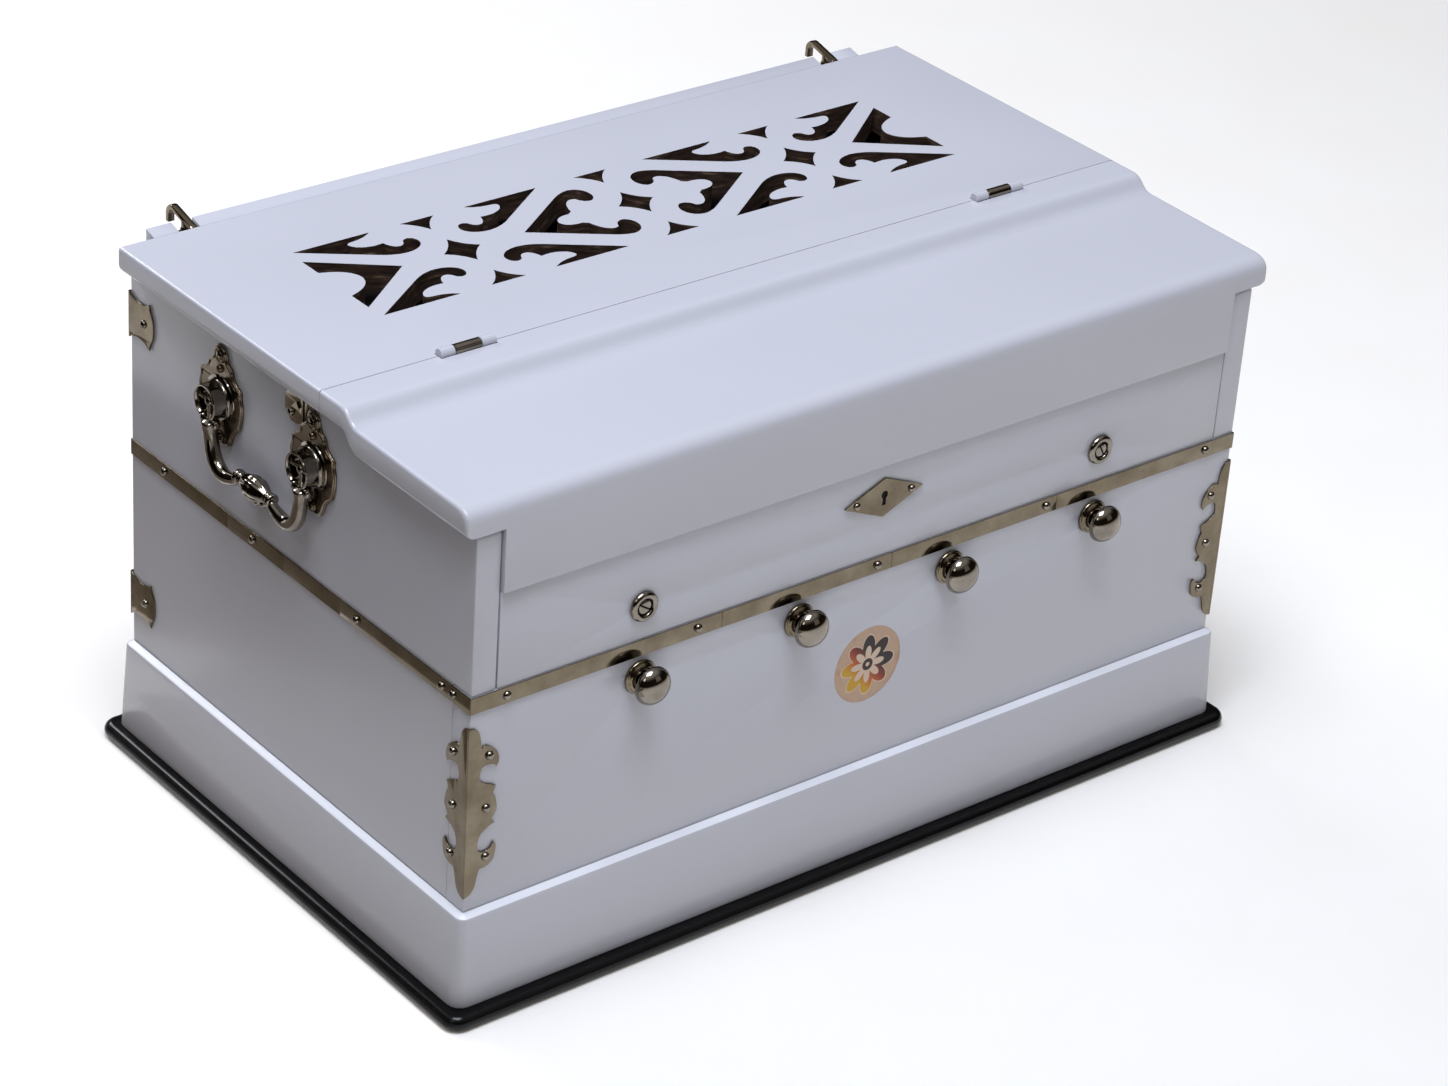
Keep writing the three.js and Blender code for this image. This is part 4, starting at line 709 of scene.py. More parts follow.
def smooth_outline(shares, wide=1.0, high=1.0, steps=4):
    """A curve through a table of shares. A third value marks a sharp corner."""
    points = [Vector((row[0] * wide, row[1] * high)) for row in shares]
    sharp = [len(row) > 2 for row in shares]
    line = []
    last = len(points) - 1
    for i in range(last):
        b, c = points[i], points[i + 1]
        a = points[i - 1] if i and not sharp[i] else b - (c - b)
        d = points[i + 2] if i + 2 <= last and not sharp[i + 1] else c + (c - b)
        line += between(a, b, c, d, steps)
    return [tuple(p) for p in line + points[last:]]


front_nail_shares = [(0.66, 0.62), (0.61, 0.01), (0.65, -0.57)]
front_wide, front_half, front_centre = 22.0, 62.0, 73.0
plate_thick = 1.2
plate_line = smooth_outline(front_plate_shares, front_wide, front_half)


def folded_plate(line, centre, side, on_side):
    """A plate in two leaves that meet in a rounded fold along the case's front corner."""
    low, high = centre - front_half, centre + front_half
    lap = -plate_gap - plate_thick * 0.6
    grown = [(lap, high), *[(max(u, 0.3), v + centre) for u, v in line[1:-1]], (lap, low)]
    front = sheet_piece([(side * (case_side - u), v) for u, v in grown], [], plate_thick, 0.25, on_front)
    aside = sheet_piece(grown, [], plate_thick, 0.25, on_side)
    out, bend = plate_gap + plate_thick + 0.06, 0.8
    turns = [radians(90 * t / 6) for t in range(7)]
    fold = [(-out + bend - bend * cos(turn), -out + bend - bend * sin(turn)) for turn in turns]
    ring = [(0.2, -out)] + fold[::-1] + [(-out, 0.2), (-plate_gap, 0.2), (-plate_gap, -plate_gap), (0.2, -plate_gap)]
    arris = prism([(side * (case_side - u), v) for u, v in ring], at, low + 1.0, high - 1.0)
    return [front, aside, arris]


for side, hand, on_side in hands:
    keep_piece(
        f"corner_plate_front_{hand}_stamped", gathered(folded_plate(plate_line, front_centre, side, on_side)),
        old_nickel, "case", "nickel", f"corner_plate_front_{hand}",
    )


rear_wide, rear_half = 29.0, 16.5
rear_shares = [
    (0.0, 1.0, 1), (0.1, 0.88), (0.26, 0.8), (0.44, 0.78), (0.62, 0.82), (0.74, 0.9), (0.84, 1.0, 1),
    (0.85, 0.84), (0.89, 0.68, 1), (0.95, 0.52), (0.99, 0.3), (1.0, 0.1),
]
rear_shares += [(u, -v, *rest) for u, v, *rest in reversed(rear_shares)]
rear_plate_line = smooth_outline(rear_shares, rear_wide, rear_half)
rear_wrap, rear_upper, rear_lower = 15.0, 248.0, 38.0
out = plate_gap + plate_thick
wrap_line = [(out, -plate_gap), (out, 0.9), (0.9, out), (-rear_wrap, out), (-rear_wrap, plate_gap),
             (plate_gap, plate_gap), (plate_gap, -plate_gap)]
for side, hand, on_side in hands:
    for name, centre in (("upper", rear_upper), ("lower", rear_lower)):
        outline = [(case_deep - u, v + centre) for u, v in rear_plate_line]
        wrap = prism([(side * (case_side + u), case_deep + v) for u, v in wrap_line], at,
                     centre - rear_half + 0.1, centre + rear_half - 0.1)
        keep_piece(
            f"corner_plate_rear_{hand}_{name}_stamped",
            gathered([sheet_piece(outline, [], plate_thick, 0.25, on_side), wrap]),
            old_nickel, "case", "nickel", f"corner_plate_rear_{hand}_{name}",
        )

# Painted shade for hollows: the bottoms of holes, slots and gaps drawn dull and nearly black, standing in for the shade
# in them, with crumbs of sawdust
painted_shade_hollow = clouded("painted_shade_in_hollows", (700.0, 3.0, 0.5), {0.4: "#0D0B0A", 0.75: "#241D18"}, 0.85, (0.4, 0.0002))

joint_low, joint_high = 256.5, 279.0
rear_leaf = [(183.1, joint_high), (197.0, joint_high), (203.0, 273.4), (203.0, 263.2), (196.6, joint_low),
             (189.8, joint_low), (183.1, 259.6)]
notch_y, notch_z = 187.3, 271.0
notch = [arc(radius, [turn], notch_y, notch_z)[0] for radius, turn in (
    (3.5, 10), (2.0, 50), (3.3, 95), (1.9, 140), (3.4, 185), (2.1, 230), (3.5, 272), (2.0, 320),
)]
front_leaf = [(166.0, joint_high), (180.9, joint_high), (180.9, 261.4), (180.3, 264.6), (179.0, 269.0),
              (177.4, 273.2), (174.4, 274.3), (171.0, 274.5), (167.4, 274.3), (166.0, 274.0)]
# Painted shade: a dark sheet behind the notch and another between the two leaves, where the gaps lie in shade
notch_shade = [(u + (u - notch_y) * 0.25, v + (v - notch_z) * 0.25) for u, v in notch]
gap_line = [(180.7, 262.5), (183.3, 260.5), (183.3, joint_high - 0.4), (180.7, joint_high - 0.4)]
dark_near, dark_far = 0.02, 0.32
for side, hand, on_side in hands:
    keep_piece(f"joint_plate_{hand}_slotted", gathered([
        sheet_piece(rear_leaf, [notch], plate_thick, 0.22, on_side),
        sheet_piece(front_leaf, [], plate_thick, 0.22, on_side),
    ]), old_nickel, "case", "nickel", f"joint_plate_{hand}")
    painted_shade_sheets = [prism(line, on_side, dark_near - plate_gap, dark_far - plate_gap) for line in (notch_shade, gap_line)]
    keep_piece(f"joint_plate_{hand}_wells", gathered(painted_shade_sheets), painted_shade_hollow, "case", "nickel")


# Nails and small screws: domed nails, driven through the band and the plates into the wood, and
# slotted screws in the handle plates. Polished nickel on steel, each turned its own way.
def turned(profile, centre, axis, steps=40):
    """A turned piece: (radius, distance) pairs in millimetres, spun about an axis through a point.
    A profile that doesn't start and end on the axis makes a ring."""
    w = Vector(axis).normalized()
    u = w.orthogonal().normalized()
    v = w.cross(u)
    rings = []
    for radius, along in profile:
        spots = [0.0] if radius < 1e-6 else [tau * i / steps for i in range(steps)]
        rings.append([centre + (w * along + (u * cos(t) + v * sin(t)) * radius) * MM for t in spots])
    return skin(rings, profile[0][0] > 1e-6 and profile[-1][0] > 1e-6)


origin = Vector((0.0, 0.0, 0.0))
dome = [(cos(radians(t)), 0.03 + 0.84 * sin(radians(t))) for t in range(12, 84, 12)]
nail_form = link("nail_form", mesh_of("nail_form", turned(
    [(0, -1.2), (0.3, -1.1), (0.34, -0.2), (0.9, -0.2), (1.0, -0.1), (1.0, 0.03), *dome, (0, 0.87)],
    origin, (0, 0, 1), 20,
)))
screw_blank = turned(
    [(0, -0.9), (0.4, -0.8), (0.45, -0.1), (0.9, -0.1), (1.0, 0.0), (1.0, 0.16), (0.9, 0.3), (0.6, 0.42), (0.3, 0.47),
     (0, 0.48)], origin, (0, 0, 1), 24,
)
slot_tool = prism(oblong(-1.2, 1.2, -0.14, 0.14), lambda u, v, w: Vector((u, v, w)) * MM, 0.18, 0.8)
screw_cut, _ = worked(screw_blank, [bright_nickel], [slot_tool], bright_nickel)
screw_form = link("screw_form", mesh_of("screw_form", screw_cut))


def open_tree(name, made, sockets):
    """A Geometry Nodes tree with its named inputs and the geometry it gives. Returns the tree, what
    its inputs give, and their keys."""
    tree = bpy.data.node_groups.new(name, "GeometryNodeTree")
    keys = {socket: tree.interface.new_socket(name=socket, in_out="INPUT", socket_type="NodeSocket" + kind).identifier
            for socket, kind in sockets.items()}
    tree.interface.new_socket(name=made, in_out="OUTPUT", socket_type="NodeSocketGeometry")
    return tree, add(tree, "NodeGroupInput").outputs, keys


def close_tree(tree, made, geometry, finish):
    """Ends a Geometry Nodes tree: real geometry with its finish."""
    real = add(tree, "GeometryNodeRealizeInstances", {"Geometry": geometry})
    painted = add(tree, "GeometryNodeSetMaterial", {"Geometry": real, "Material": finish})
    add(tree, "NodeGroupOutput", {made: painted})


def grown(made, tree, keys, settings):
    """The mesh that a Geometry Nodes tree makes of an object."""
    setting = made.modifiers.new("nodes", "NODES")
    setting.node_group = tree
    for name, value in settings.items():
        setting[keys[name]] = value
    return evaluated_mesh(made)


fastener_tree, given, fastener_keys = open_tree("set_fasteners", "Fasteners", {
    "Points": "Geometry", "Form": "Object", "Head radius mm": "Float", "Most turn": "Float", "Seed": "Int",
    "Finish": "Material",
})
way_out = add(fastener_tree, "GeometryNodeInputNamedAttribute", {"Name": "facing"}, data_type="FLOAT_VECTOR")
upright = add(fastener_tree, "FunctionNodeAlignRotationToVector", {"Vector": way_out}, axis="Z")
chance = add(fastener_tree, "FunctionNodeRandomValue", {"Seed": given["Seed"], 3: given["Most turn"]},
             data_type="FLOAT")
spin = add(fastener_tree, "FunctionNodeAxisAngleToRotation", {"Axis": (0.0, 0.0, 1.0), "Angle": chance.outputs[1]})
turned_way = add(fastener_tree, "FunctionNodeRotateRotation", {"Rotation": upright, "Rotate By": spin},
                 rotation_space="LOCAL")
form = add(fastener_tree, "GeometryNodeObjectInfo", {"Object": given["Form"]})
heads = add(fastener_tree, "GeometryNodeInstanceOnPoints", {
    "Points": given["Points"], "Instance": form.outputs["Geometry"], "Rotation": turned_way,
    "Scale": given["Head radius mm"],
})
close_tree(fastener_tree, "Fasteners", heads, given["Finish"])


def fasteners(name, places, form, radius, turn, seed, finish):
    """Sets heads at places, each a point in metres and the way it faces."""
    mesh = bpy.data.meshes.new(name)
    mesh.from_pydata([tuple(point) for point, _ in places], [], [])
    facing = mesh.attributes.new("facing", "FLOAT_VECTOR", "POINT")
    facing.data.foreach_set("vector", [c for _, way in places for c in way])
    settings = {"Form": form, "Head radius mm": radius, "Most turn": turn, "Seed": seed, "Finish": finish}
    keep_piece(name, grown(link(name, mesh), fastener_tree, fastener_keys, settings), finish, "case", "nickel")


front_way, band_middle = (0, -1, 0), 150.25
front_nail_xs, side_nail_ys = (-294, -147, 0, 147, 294), (17, 29, 121, 239, 345)
nail_places = [(on_front(x, band_middle, band_thick), front_way) for x in front_nail_xs]
for side, _, on_side in hands:
    way = (side, 0, 0)
    front_nails = [(u * front_wide, front_centre + v * front_half) for u, v in front_nail_shares]
    nail_places += [(on_side(y, band_middle, band_thick), way) for y in side_nail_ys]
    nail_places += [(on_side(u, v, plate_thick), way) for u, v in front_nails]
    nail_places += [(on_front(side * (case_side - u), v, plate_thick), front_way) for u, v in front_nails]
    nail_places += [(on_side(case_deep - rear_wide * 0.62, z, plate_thick), way) for z in (rear_upper, rear_lower)]
    nail_places += [(on_side(196.0, 262.5, plate_thick), way)]
fasteners("domed_nails", nail_places, nail_form, 3.0, 6.28, 4, bright_nickel)


# Handles: on each end two cast plates carry a deep slotted cup, and the ends of a swan-necked
# drop handle turn in the cups. Cast brass, nickel-plated and polished, with moulded ribs.
plate_wide, plate_half_high, plate_centre, cup_high = 25.0, 35.0, 238.5, 236.0
# Nickel cast and only part polished: warm grey-brown, browner in the hollows, softly rough
cast_nickel = clouded("old_nickel_casting", (95.0, 4.0, 0.6), {0.3: "#6A5A45", 0.5: "#7E7262", 0.7: "#8F8577"},
                      (0.3, 0.7, 0.3, 0.16), (0.2, 0.00025), Metallic=1.0)
handle_ys = (171.0, 276.0)
crest_shares = [
    (0.0, 1.0), (0.12, 0.992), (0.2, 0.96), (0.26, 0.9), (0.28, 0.83), (0.3, 0.76, 1), (0.36, 0.7), (0.46, 0.65),
    (0.54, 0.6), (0.57, 0.52, 1), (0.64, 0.45), (0.76, 0.38), (0.88, 0.33), (0.95, 0.28, 1), (0.93, 0.2), (0.97, 0.1),
    (1.0, 0.0), (0.99, -0.14), (0.96, -0.3), (0.92, -0.4), (0.87, -0.49, 1), (0.74, -0.56), (0.62, -0.66),
    (0.54, -0.76), (0.49, -0.86), (0.42, -0.94), (0.3, -0.985), (0.14, -1.0), (0.0, -1.0),
]
crest_line = smooth_outline(crest_shares, plate_wide, plate_half_high, 3)
full_crest = crest_line + [(-u, v) for u, v in reversed(crest_line[1:-1])]


def shrunk(line, inset):
    """An outline drawn in on itself by some millimetres."""
    found = []
    for i, (u, v) in enumerate(line):
        before, after = Vector(line[i - 1]), Vector(line[(i + 1) % len(line)])
        slope = (after - before).normalized()
        inward = Vector((slope.y, -slope.x))
        found.append((u + inward.x * inset, v + inward.y * inset))
    return found


def circle(u, v, radius, count=24):
    """A round outline."""
    return arc(radius, [-360 * i / count for i in range(count)], u, v)


cup_profile = [
    (0, 0.8), (15.6, 0.8), (16.2, 1.5), (15.8, 2.3), (14.4, 2.6), (13.4, 3.1), (12.8, 4.0), (12.5, 5.6), (12.2, 9.0),
    (12.0, 12.4), (12.1, 13.5), (11.7, 14.0), (10.9, 14.0), (10.5, 13.5), (10.2, 11.0), (9.6, 5.6),
    (8.6, 3.9), (0, 3.5),
]
# The raised parts of a plate: its outline, then steps of (inset, height) from one to the next
raised = [
    (full_crest, [(0.0, 0.0), (0.0, 1.0), (0.3, 1.5), (0.9, 1.7), (1.2, 2.3), (1.7, 2.55), (2.2, 2.3), (2.5, 1.7)]),
    (circle(0, 28.4, 5.6), [(0, 0.5), (0, 2.5), (0.4, 2.95), (1.0, 3.05), (1.5, 2.7)]),
    (circle(0, -30.0, 4.4), [(0, 0.5), (0, 2.2), (0.4, 2.6), (1.1, 2.6), (1.5, 2.2)]),
    (circle(0, 18.6, 2.9, 18), [(0, 1.0), (0.1, 2.6), (0.6, 3.5), (1.3, 4.1), (2.1, 4.4)]),
]
cup_slot = 5.6
screw_places = []
for side, hand, on_side in hands:
    way = Vector((side, 0, 0))
    for y, end in zip(handle_ys, ("front", "rear")):
        layers = [skin([[on_side(y + u, plate_centre + v, out) for u, v in shrunk(line, inset)]
                        for inset, out in steps]) for line, steps in raised]
        cup = turned(cup_profile, on_side(y, cup_high, 0.0), way, 48)
        slot = prism(oblong(y - cup_slot, y + cup_slot, cup_high - 16, cup_high - 1), on_side, 3.4, 20.0)
        slotted, _ = worked(cup, [bright_nickel], [slot], bright_nickel)
        keep_piece(f"handle_cup_{hand}_{end}_polished", slotted, bright_nickel, "case", "nickel")
        keep_piece(
            f"handle_plate_{hand}_{end}_cast", gathered(layers), cast_nickel, "case", "nickel",
            f"handle_plate_{hand}_{end}", sharp=40,
        )
        screw_places += [(on_side(y, plate_centre + up, out), way) for up, out in ((28.0, 2.4), (-30.0, 2.1))]
fasteners("handle_plate_screws", screw_places, screw_form, 3.3, 3.1, 9, old_nickel)

rod_tree, given, rod_keys = open_tree("cast_rod", "Rod", {"Path": "Geometry", "Sides": "Int", "Finish": "Material"})
section = add(rod_tree, "GeometryNodeCurvePrimitiveCircle", {"Resolution": given["Sides"], "Radius": 1.0})
sweep = add(rod_tree, "GeometryNodeCurveToMesh", {
    "Curve": given["Path"], "Profile Curve": section, "Fill Caps": True,
})
if "Scale" in sweep.inputs:
    rod_tree.links.new(add(rod_tree, "GeometryNodeInputRadius").outputs[0], sweep.inputs["Scale"])
close_tree(rod_tree, "Rod", sweep, given["Finish"])


def rod_along(points, sides, finish):
    """A rod swept along points in metres, each with a radius in millimetres as a fourth value."""
    curve = bpy.data.curves.new("rod", "CURVE")
    curve.dimensions = "3D"
    curve.twist_mode = "MINIMUM"
    spline = curve.splines.new("POLY")
    spline.points.add(len(points) - 1)
    for point, (*place, radius) in zip(spline.points, points):
        point.co = (*place, 1.0)
        point.radius = radius * MM
    rod = grown(link("rod", curve), rod_tree, rod_keys, {"Sides": sides, "Finish": finish})
    return tidy_faces(shape_of(rod, 1e-6))


bail_offset, bail_half, bail_drop, bail_mid = 9.5, 52.5, 46.0, 223.5
neck_shares = [(1, 0.0, 2.0), (1, 0.2, 2.0), (1, 0.27, 2.4), (1, 0.32, 6.0), (1, 0.4, 5.7), (0.99, 0.5, 5.0),
               (0.965, 0.63, 4.9), (0.93, 0.77, 5.1), (0.87, 0.89, 5.2), (0.79, 0.965, 5.2), (0.7, 1.0, 4.9),
               (0.6, 0.995, 4.6), (0.5, 0.965, 4.2), (0.42, 0.93, 3.8), (0.34, 0.885, 3.4)]
leaf_lobes = [(-15.5, 4.6, 2.4), (-10.0, 6.4, 2.8), (-3.4, 7.6, 3.2), (3.6, 7.6, 3.2), (10.2, 6.4, 2.8),
              (15.6, 4.6, 2.4)]
grip_drop, grip_sides, bulb_half, bulb_thin, bulb_swell = 38.4, 48, 15.0, 3.0, 4.6
eye_pin = [(0, -10.6), (1.5, -10.6), (1.6, -10.4), (1.6, 10.4), (1.5, 10.6), (0, 10.6)]
eye_bar = [(0, -9.2), (1.7, -9.0), (2.7, -8.3), (3.1, -7.2), (3.1, -5.6), (2.8, -4.4), (2.8, 4.4), (3.1, 5.6),
           (3.1, 7.2), (2.7, 8.3), (1.7, 9.0), (0, 9.2)]


def ball(radius):
    """The profile of a ball."""
    return [(0, -radius), *arc(radius, range(-75, 90, 15)), (0, radius)]


def bulb(on_bail):
    """The grip's bulb: an oval with eight soft leaves, over a row of small lobes."""
    rings = []
    for k in range(25):
        share = -1 + 2 * k / 24
        girth = bulb_thin + bulb_swell * (1 - abs(share) ** 2.3)
        ring = []
        for i in range(grip_sides):
            turn = tau * i / grip_sides
            lobe = 1 + 0.07 * (1 - share * share) * cos(8 * turn) - 0.05 * exp(-(share * 9) ** 2)
            out, down = girth * lobe * cos(turn), girth * lobe * sin(turn)
            ring.append(on_bail(bulb_half * share, grip_drop - down, out))
        rings.append(ring)
    lobes = [turned(ball(radius), on_bail(along, grip_drop + down), (1, 0, 0), 20)
             for along, down, radius in leaf_lobes]
    return [skin(rings), *lobes]


for side, hand, on_side in hands:
    def on_bail(along, down, out=0.0):
        """Places on the drop handle, from the middle between its eyes."""
        return on_side(bail_mid + along, cup_high - down, bail_offset + out - plate_gap)

    parts = bulb(on_bail)
    for end in (-1, 1):
        rows = [Vector((*on_bail(end * out * bail_half, down * bail_drop), radius))
                for out, down, radius in neck_shares]
        line = []
        for a, b, c, d in zip([rows[0], *rows], rows, rows[1:], [*rows[2:], rows[-1]]):
            line += between(a, b, c, d, 7)
        parts.append(rod_along(line + rows[-1:], 20, bright_nickel))
        eye = on_bail(end * bail_half, 0.0)
        parts += [turned(ball(3.6), eye, (0, 0, 1), 24), turned(eye_pin, eye, (0, 1, 0), 16),
                  turned(eye_bar, on_bail(end * bail_half, 14.5), (0, 1, 0), 20)]
        for along, lower, radius, thick in ((15.2, 0.0, 4.5, 1.9), (18.6, 0.5, 5.2, 2.1)):
            bead = [(0, -thick), *arc(thick, range(-90, 91, 18), radius - thick), (0, thick)]
            parts.append(turned(bead, on_bail(end * along, grip_drop + lower), (0, 1, -end * 0.12), 28))
    keep_piece(
        f"handle_bail_{hand}_cast", gathered(parts), bright_nickel, f"bail_{hand}", "nickel",
        f"handle_bail_{hand}", sharp=45,
    )


# Cover hinges: two brass butt hinges sunk in the split between the lids. The outer knuckles on the
# rear leaf were sprayed over with the case; the middle one on the front leaf rubbed bare.
def slab(x0, x1, y0, y1, z0, z1, edge=0.3, steps=2):
    """A rectangular bar in the case's own millimetres, its edges eased."""
    return softened(prism(oblong(x0, x1, y0, y1), at, z0, z1), edge, steps)


def barrel_along(radius, x0, x1, y, z, edge=0.35, count=32):
    """A round bar across the case, its ends eased."""
    profile = [(0, x0), (radius - edge, x0), (radius, x0 + edge), (radius, x1 - edge), (radius - edge, x1), (0, x1)]
    return turned(profile, at(0, y, z), (1, 0, 0), count)


leaf_thick, leaf_drop, leaf_gap, knuckle_radius, middle_half = 1.2, 13.0, 0.15, 3.8, 10.0
for side, hand in ((-1, "left"), (1, "right")):
    x = side * hinge_at
    near, far, middle_near, middle_far = x - hinge_half, x + hinge_half, x - middle_half, x + middle_half
    leaf_low, leaf_high = lid_top - leaf_drop, lid_top - 2.9
    rear, front = lid_split + leaf_gap, lid_split - leaf_gap
    fixed = [slab(near, far, rear, rear + leaf_thick, leaf_low, leaf_high, 0.2),
             barrel_along(1.6, near + 0.2, far - 0.2, lid_split, hinge_high)]
    keep_piece(f"cover_hinge_{hand}_rear_leaf", gathered(fixed), old_nickel, "case", "nickel",
               f"cover_hinge_{hand}_fixed")
    outer = [barrel_along(knuckle_radius, x0, x1, lid_split, hinge_high)
             for x0, x1 in ((near, middle_near - 0.3), (middle_far + 0.3, far))]
    keep_piece(f"cover_hinge_{hand}_painted_knuckles", gathered(outer), white_lacquer, "case", "nickel")
    moving = [slab(near, far, front - leaf_thick, front, leaf_low, leaf_high, 0.2),
              slab(middle_near, middle_far, front - leaf_thick, front, lid_top - 3.2, hinge_high, 0.2),
              barrel_along(knuckle_radius, middle_near, middle_far, lid_split, hinge_high)]
    keep_piece(f"cover_hinge_{hand}_front_leaf", gathered(moving), bright_nickel, "front_lid", "nickel",
               f"cover_hinge_{hand}_moving")


# Stop knobs: turned brass mushrooms on a waisted neck, plated and polished, each on a steel rod
# that runs inside the case, through a turned collar pressed into the front.
stop_xs, stop_high, head_from, head_long, head_radius = (-191.25, -63.75, 63.75, 191.25), 129.3, 9.8, 12.5, 13.2
head_widest, head_behind = 3.4, 3.2
head_line = [
    (head_radius * cos(radians(t)),
     head_from + head_widest + (head_long - head_widest if t > 0 else head_behind) * sin(radians(t)))
    for t in range(-60, 90, 6)
] + [(0.0, head_from + head_long)]
neck_line = smooth_outline([
    (0.0, -62.0, 1), (2.8, -62.0, 1), (3.2, -61.6, 1), (3.2, -0.3, 1), (5.2, -0.3, 1), (5.6, 0.4), (5.6, 1.8),
    (4.9, 3.2), (4.5, 5.4), (4.6, 7.2), (5.5, 8.4, 1), (6.0, 8.9), (5.9, 9.5), (5.5, head_from, 1),
])
collar_line = smooth_outline([
    (6.2, 0.3, 1), (11.6, 0.3, 1), (12.0, 0.8), (12.0, 1.7), (11.6, 2.5), (10.7, 2.9, 1), (10.3, 3.3), (9.6, 4.2),
    (8.6, 4.8), (7.4, 4.9), (6.5, 4.7), (6.2, 4.0, 1),
], steps=3)
for count, x in enumerate(stop_xs, start=1):
    spot = at(x, 0, stop_high)
    knob = turned(neck_line + head_line, spot, front_way, 56)
    keep_piece(f"stop_knob_{count}_turned", knob, bright_nickel, f"stop_{count}", "nickel", f"stop_knob_{count}")
    # The collars take the darker aged nickel, not the polished one: painted shade for the dark ring round each knob's
    # neck
    collar = turned(collar_line, spot, front_way, 56)
    keep_piece(f"stop_collar_{count}_turned", collar, old_nickel, "case", "nickel", f"knob_collar_{count}")


# Slip screws: two slotted screws, each sunk in a turned cup, that hold the front board in place.
# Nickel-plated; the heads stand a little off level where the screws came to rest.
slip_high, cup_line = 180.0, smooth_outline([
    (5.75, 0.3, 1), (10.3, 0.3, 1), (10.5, 0.7), (10.4, 1.4), (9.9, 2.4), (9.1, 3.05), (8.2, 3.35), (7.3, 3.3),
    (6.6, 3.0), (6.1, 2.5), (5.8, 1.8), (5.75, 1.0, 1),
], steps=3)
slip_line = [(0, -15.0), (1.9, -14.4), (2.6, -12.4), (2.6, 0.4), (4.75, 0.4), (4.95, 0.8), (5.0, 1.5), (4.7, 2.1),
             (3.9, 2.5), (2.6, 2.75), (1.3, 2.85), (0, 2.9)]
for x, turn, hand in ((-191.5, -32, "left"), (191.5, -62, "right")):
    spot = at(x, 0, slip_high)
    slant = radians(turn)

    def in_slot(u, v, w):
        return spot + Vector((u * cos(slant) - v * sin(slant), -w, u * sin(slant) + v * cos(slant))) * MM

    slot = prism(oblong(-9, 9, -0.6, 0.6), in_slot, 1.2, 6.0)
    # The walls of the slot take the painted shade colour, dark for the shade down in the slot
    slotted, finishes = worked(turned(slip_line, spot, front_way, 48), [bright_nickel], [slot], painted_shade_hollow)
    keep_piece(
        f"slip_screw_{hand}_cup", turned(cup_line, spot, front_way, 48), bright_nickel,
        "case", "nickel", f"slip_screw_{hand}",
    )
    keep_piece(f"slip_screw_{hand}_slotted", slotted, finishes, "case", "nickel")
    # Painted shade: a dark ring at the bottom of the gap between the head and its cup
    painted_groove_shade = turned(oblong(4.6, 6.2, 0.02, 0.5), spot, front_way, 48)
    keep_piece(f"slip_screw_{hand}_groove", painted_groove_shade, painted_shade_hollow, "case", "nickel")


# Lock: a diamond escutcheon cut from plated sheet and pinned over the keyhole; behind it a steel
# box lock let into the fall board, whose bolt rises into the cover's apron.
lock_high, diamond_half, diamond_rise, diamond_tip, pin_at = 200.3, 33.0, 14.0, 0.6, 23.0
keyhole = arc(2.7, range(-60, 241, 20), 0.0, lock_high + 2.0) + [(-1.5, lock_high - 5.4), (1.5, lock_high - 5.4)]
diamond = [(-diamond_half, lock_high), (-diamond_tip, lock_high - diamond_rise),
           (diamond_tip, lock_high - diamond_rise), (diamond_half, lock_high),
           (diamond_tip, lock_high + diamond_rise), (-diamond_tip, lock_high + diamond_rise)]
keep_piece("lock_escutcheon_cut", sheet_piece(diamond, [keyhole[::-1]], plate_thick, 0.22, on_front), old_nickel,
           "case", "nickel", "lock_escutcheon")
# Painted shade: a dark sheet under the keyhole, where the hole looks into shade
wide_keyhole = [(u * 1.25, lock_high + (v - lock_high) * 1.1) for u, v in keyhole]
keep_piece("keyhole_dark", prism(wide_keyhole, from_front, -dark_near, -dark_far), painted_shade_hollow, "case", "nickel")
fasteners("escutcheon_pins", [(on_front(side * pin_at, lock_high, plate_thick), front_way) for side in (-1, 1)],
          nail_form, 2.7, 6.28, 7, bright_nickel)

zinc_steel, tree, where = new_material("zinc_plated_steel")
# Zinc-plated mild steel: dull grey metal with a fine crystal spangle and wiped oil
spangle = add(tree, "ShaderNodeTexVoronoi", {"Vector": where, "Scale": 420.0})
oil = add(tree, "ShaderNodeTexNoise", {"Vector": where, "Scale": 55.0, "Detail": 4.0})
zinc_tone = add(tree, "ShaderNodeValToRGB", {"Fac": oil}, {0.3: "#77776F", 0.55: "#92938F", 0.75: "#A3A5A4"})
zinc_rough = add(tree, "ShaderNodeMapRange", {"Value": spangle, "To Min": 0.3, "To Max": 0.5})
finish_material(tree, {"Base Color": zinc_tone, "Metallic": 1.0, "Roughness": zinc_rough}, spangle, 0.2, 0.0001)
keep_piece("lock_case_steel", eased("lock_case", 0.5), zinc_steel, "case", "steel", "lock_case")
keep_piece("lock_bolt_steel", eased("lock_bolt", 0.6), zinc_steel, "bolt", "steel", "lock_bolt")


# Sticker: a round paper label, 56 mm across, on the middle of the front, printed with a rosette of
# petals that runs from black over orange to yellow, on a faded peach ground.
sticker_ink, tree, where = new_material("printed_paper_sticker")
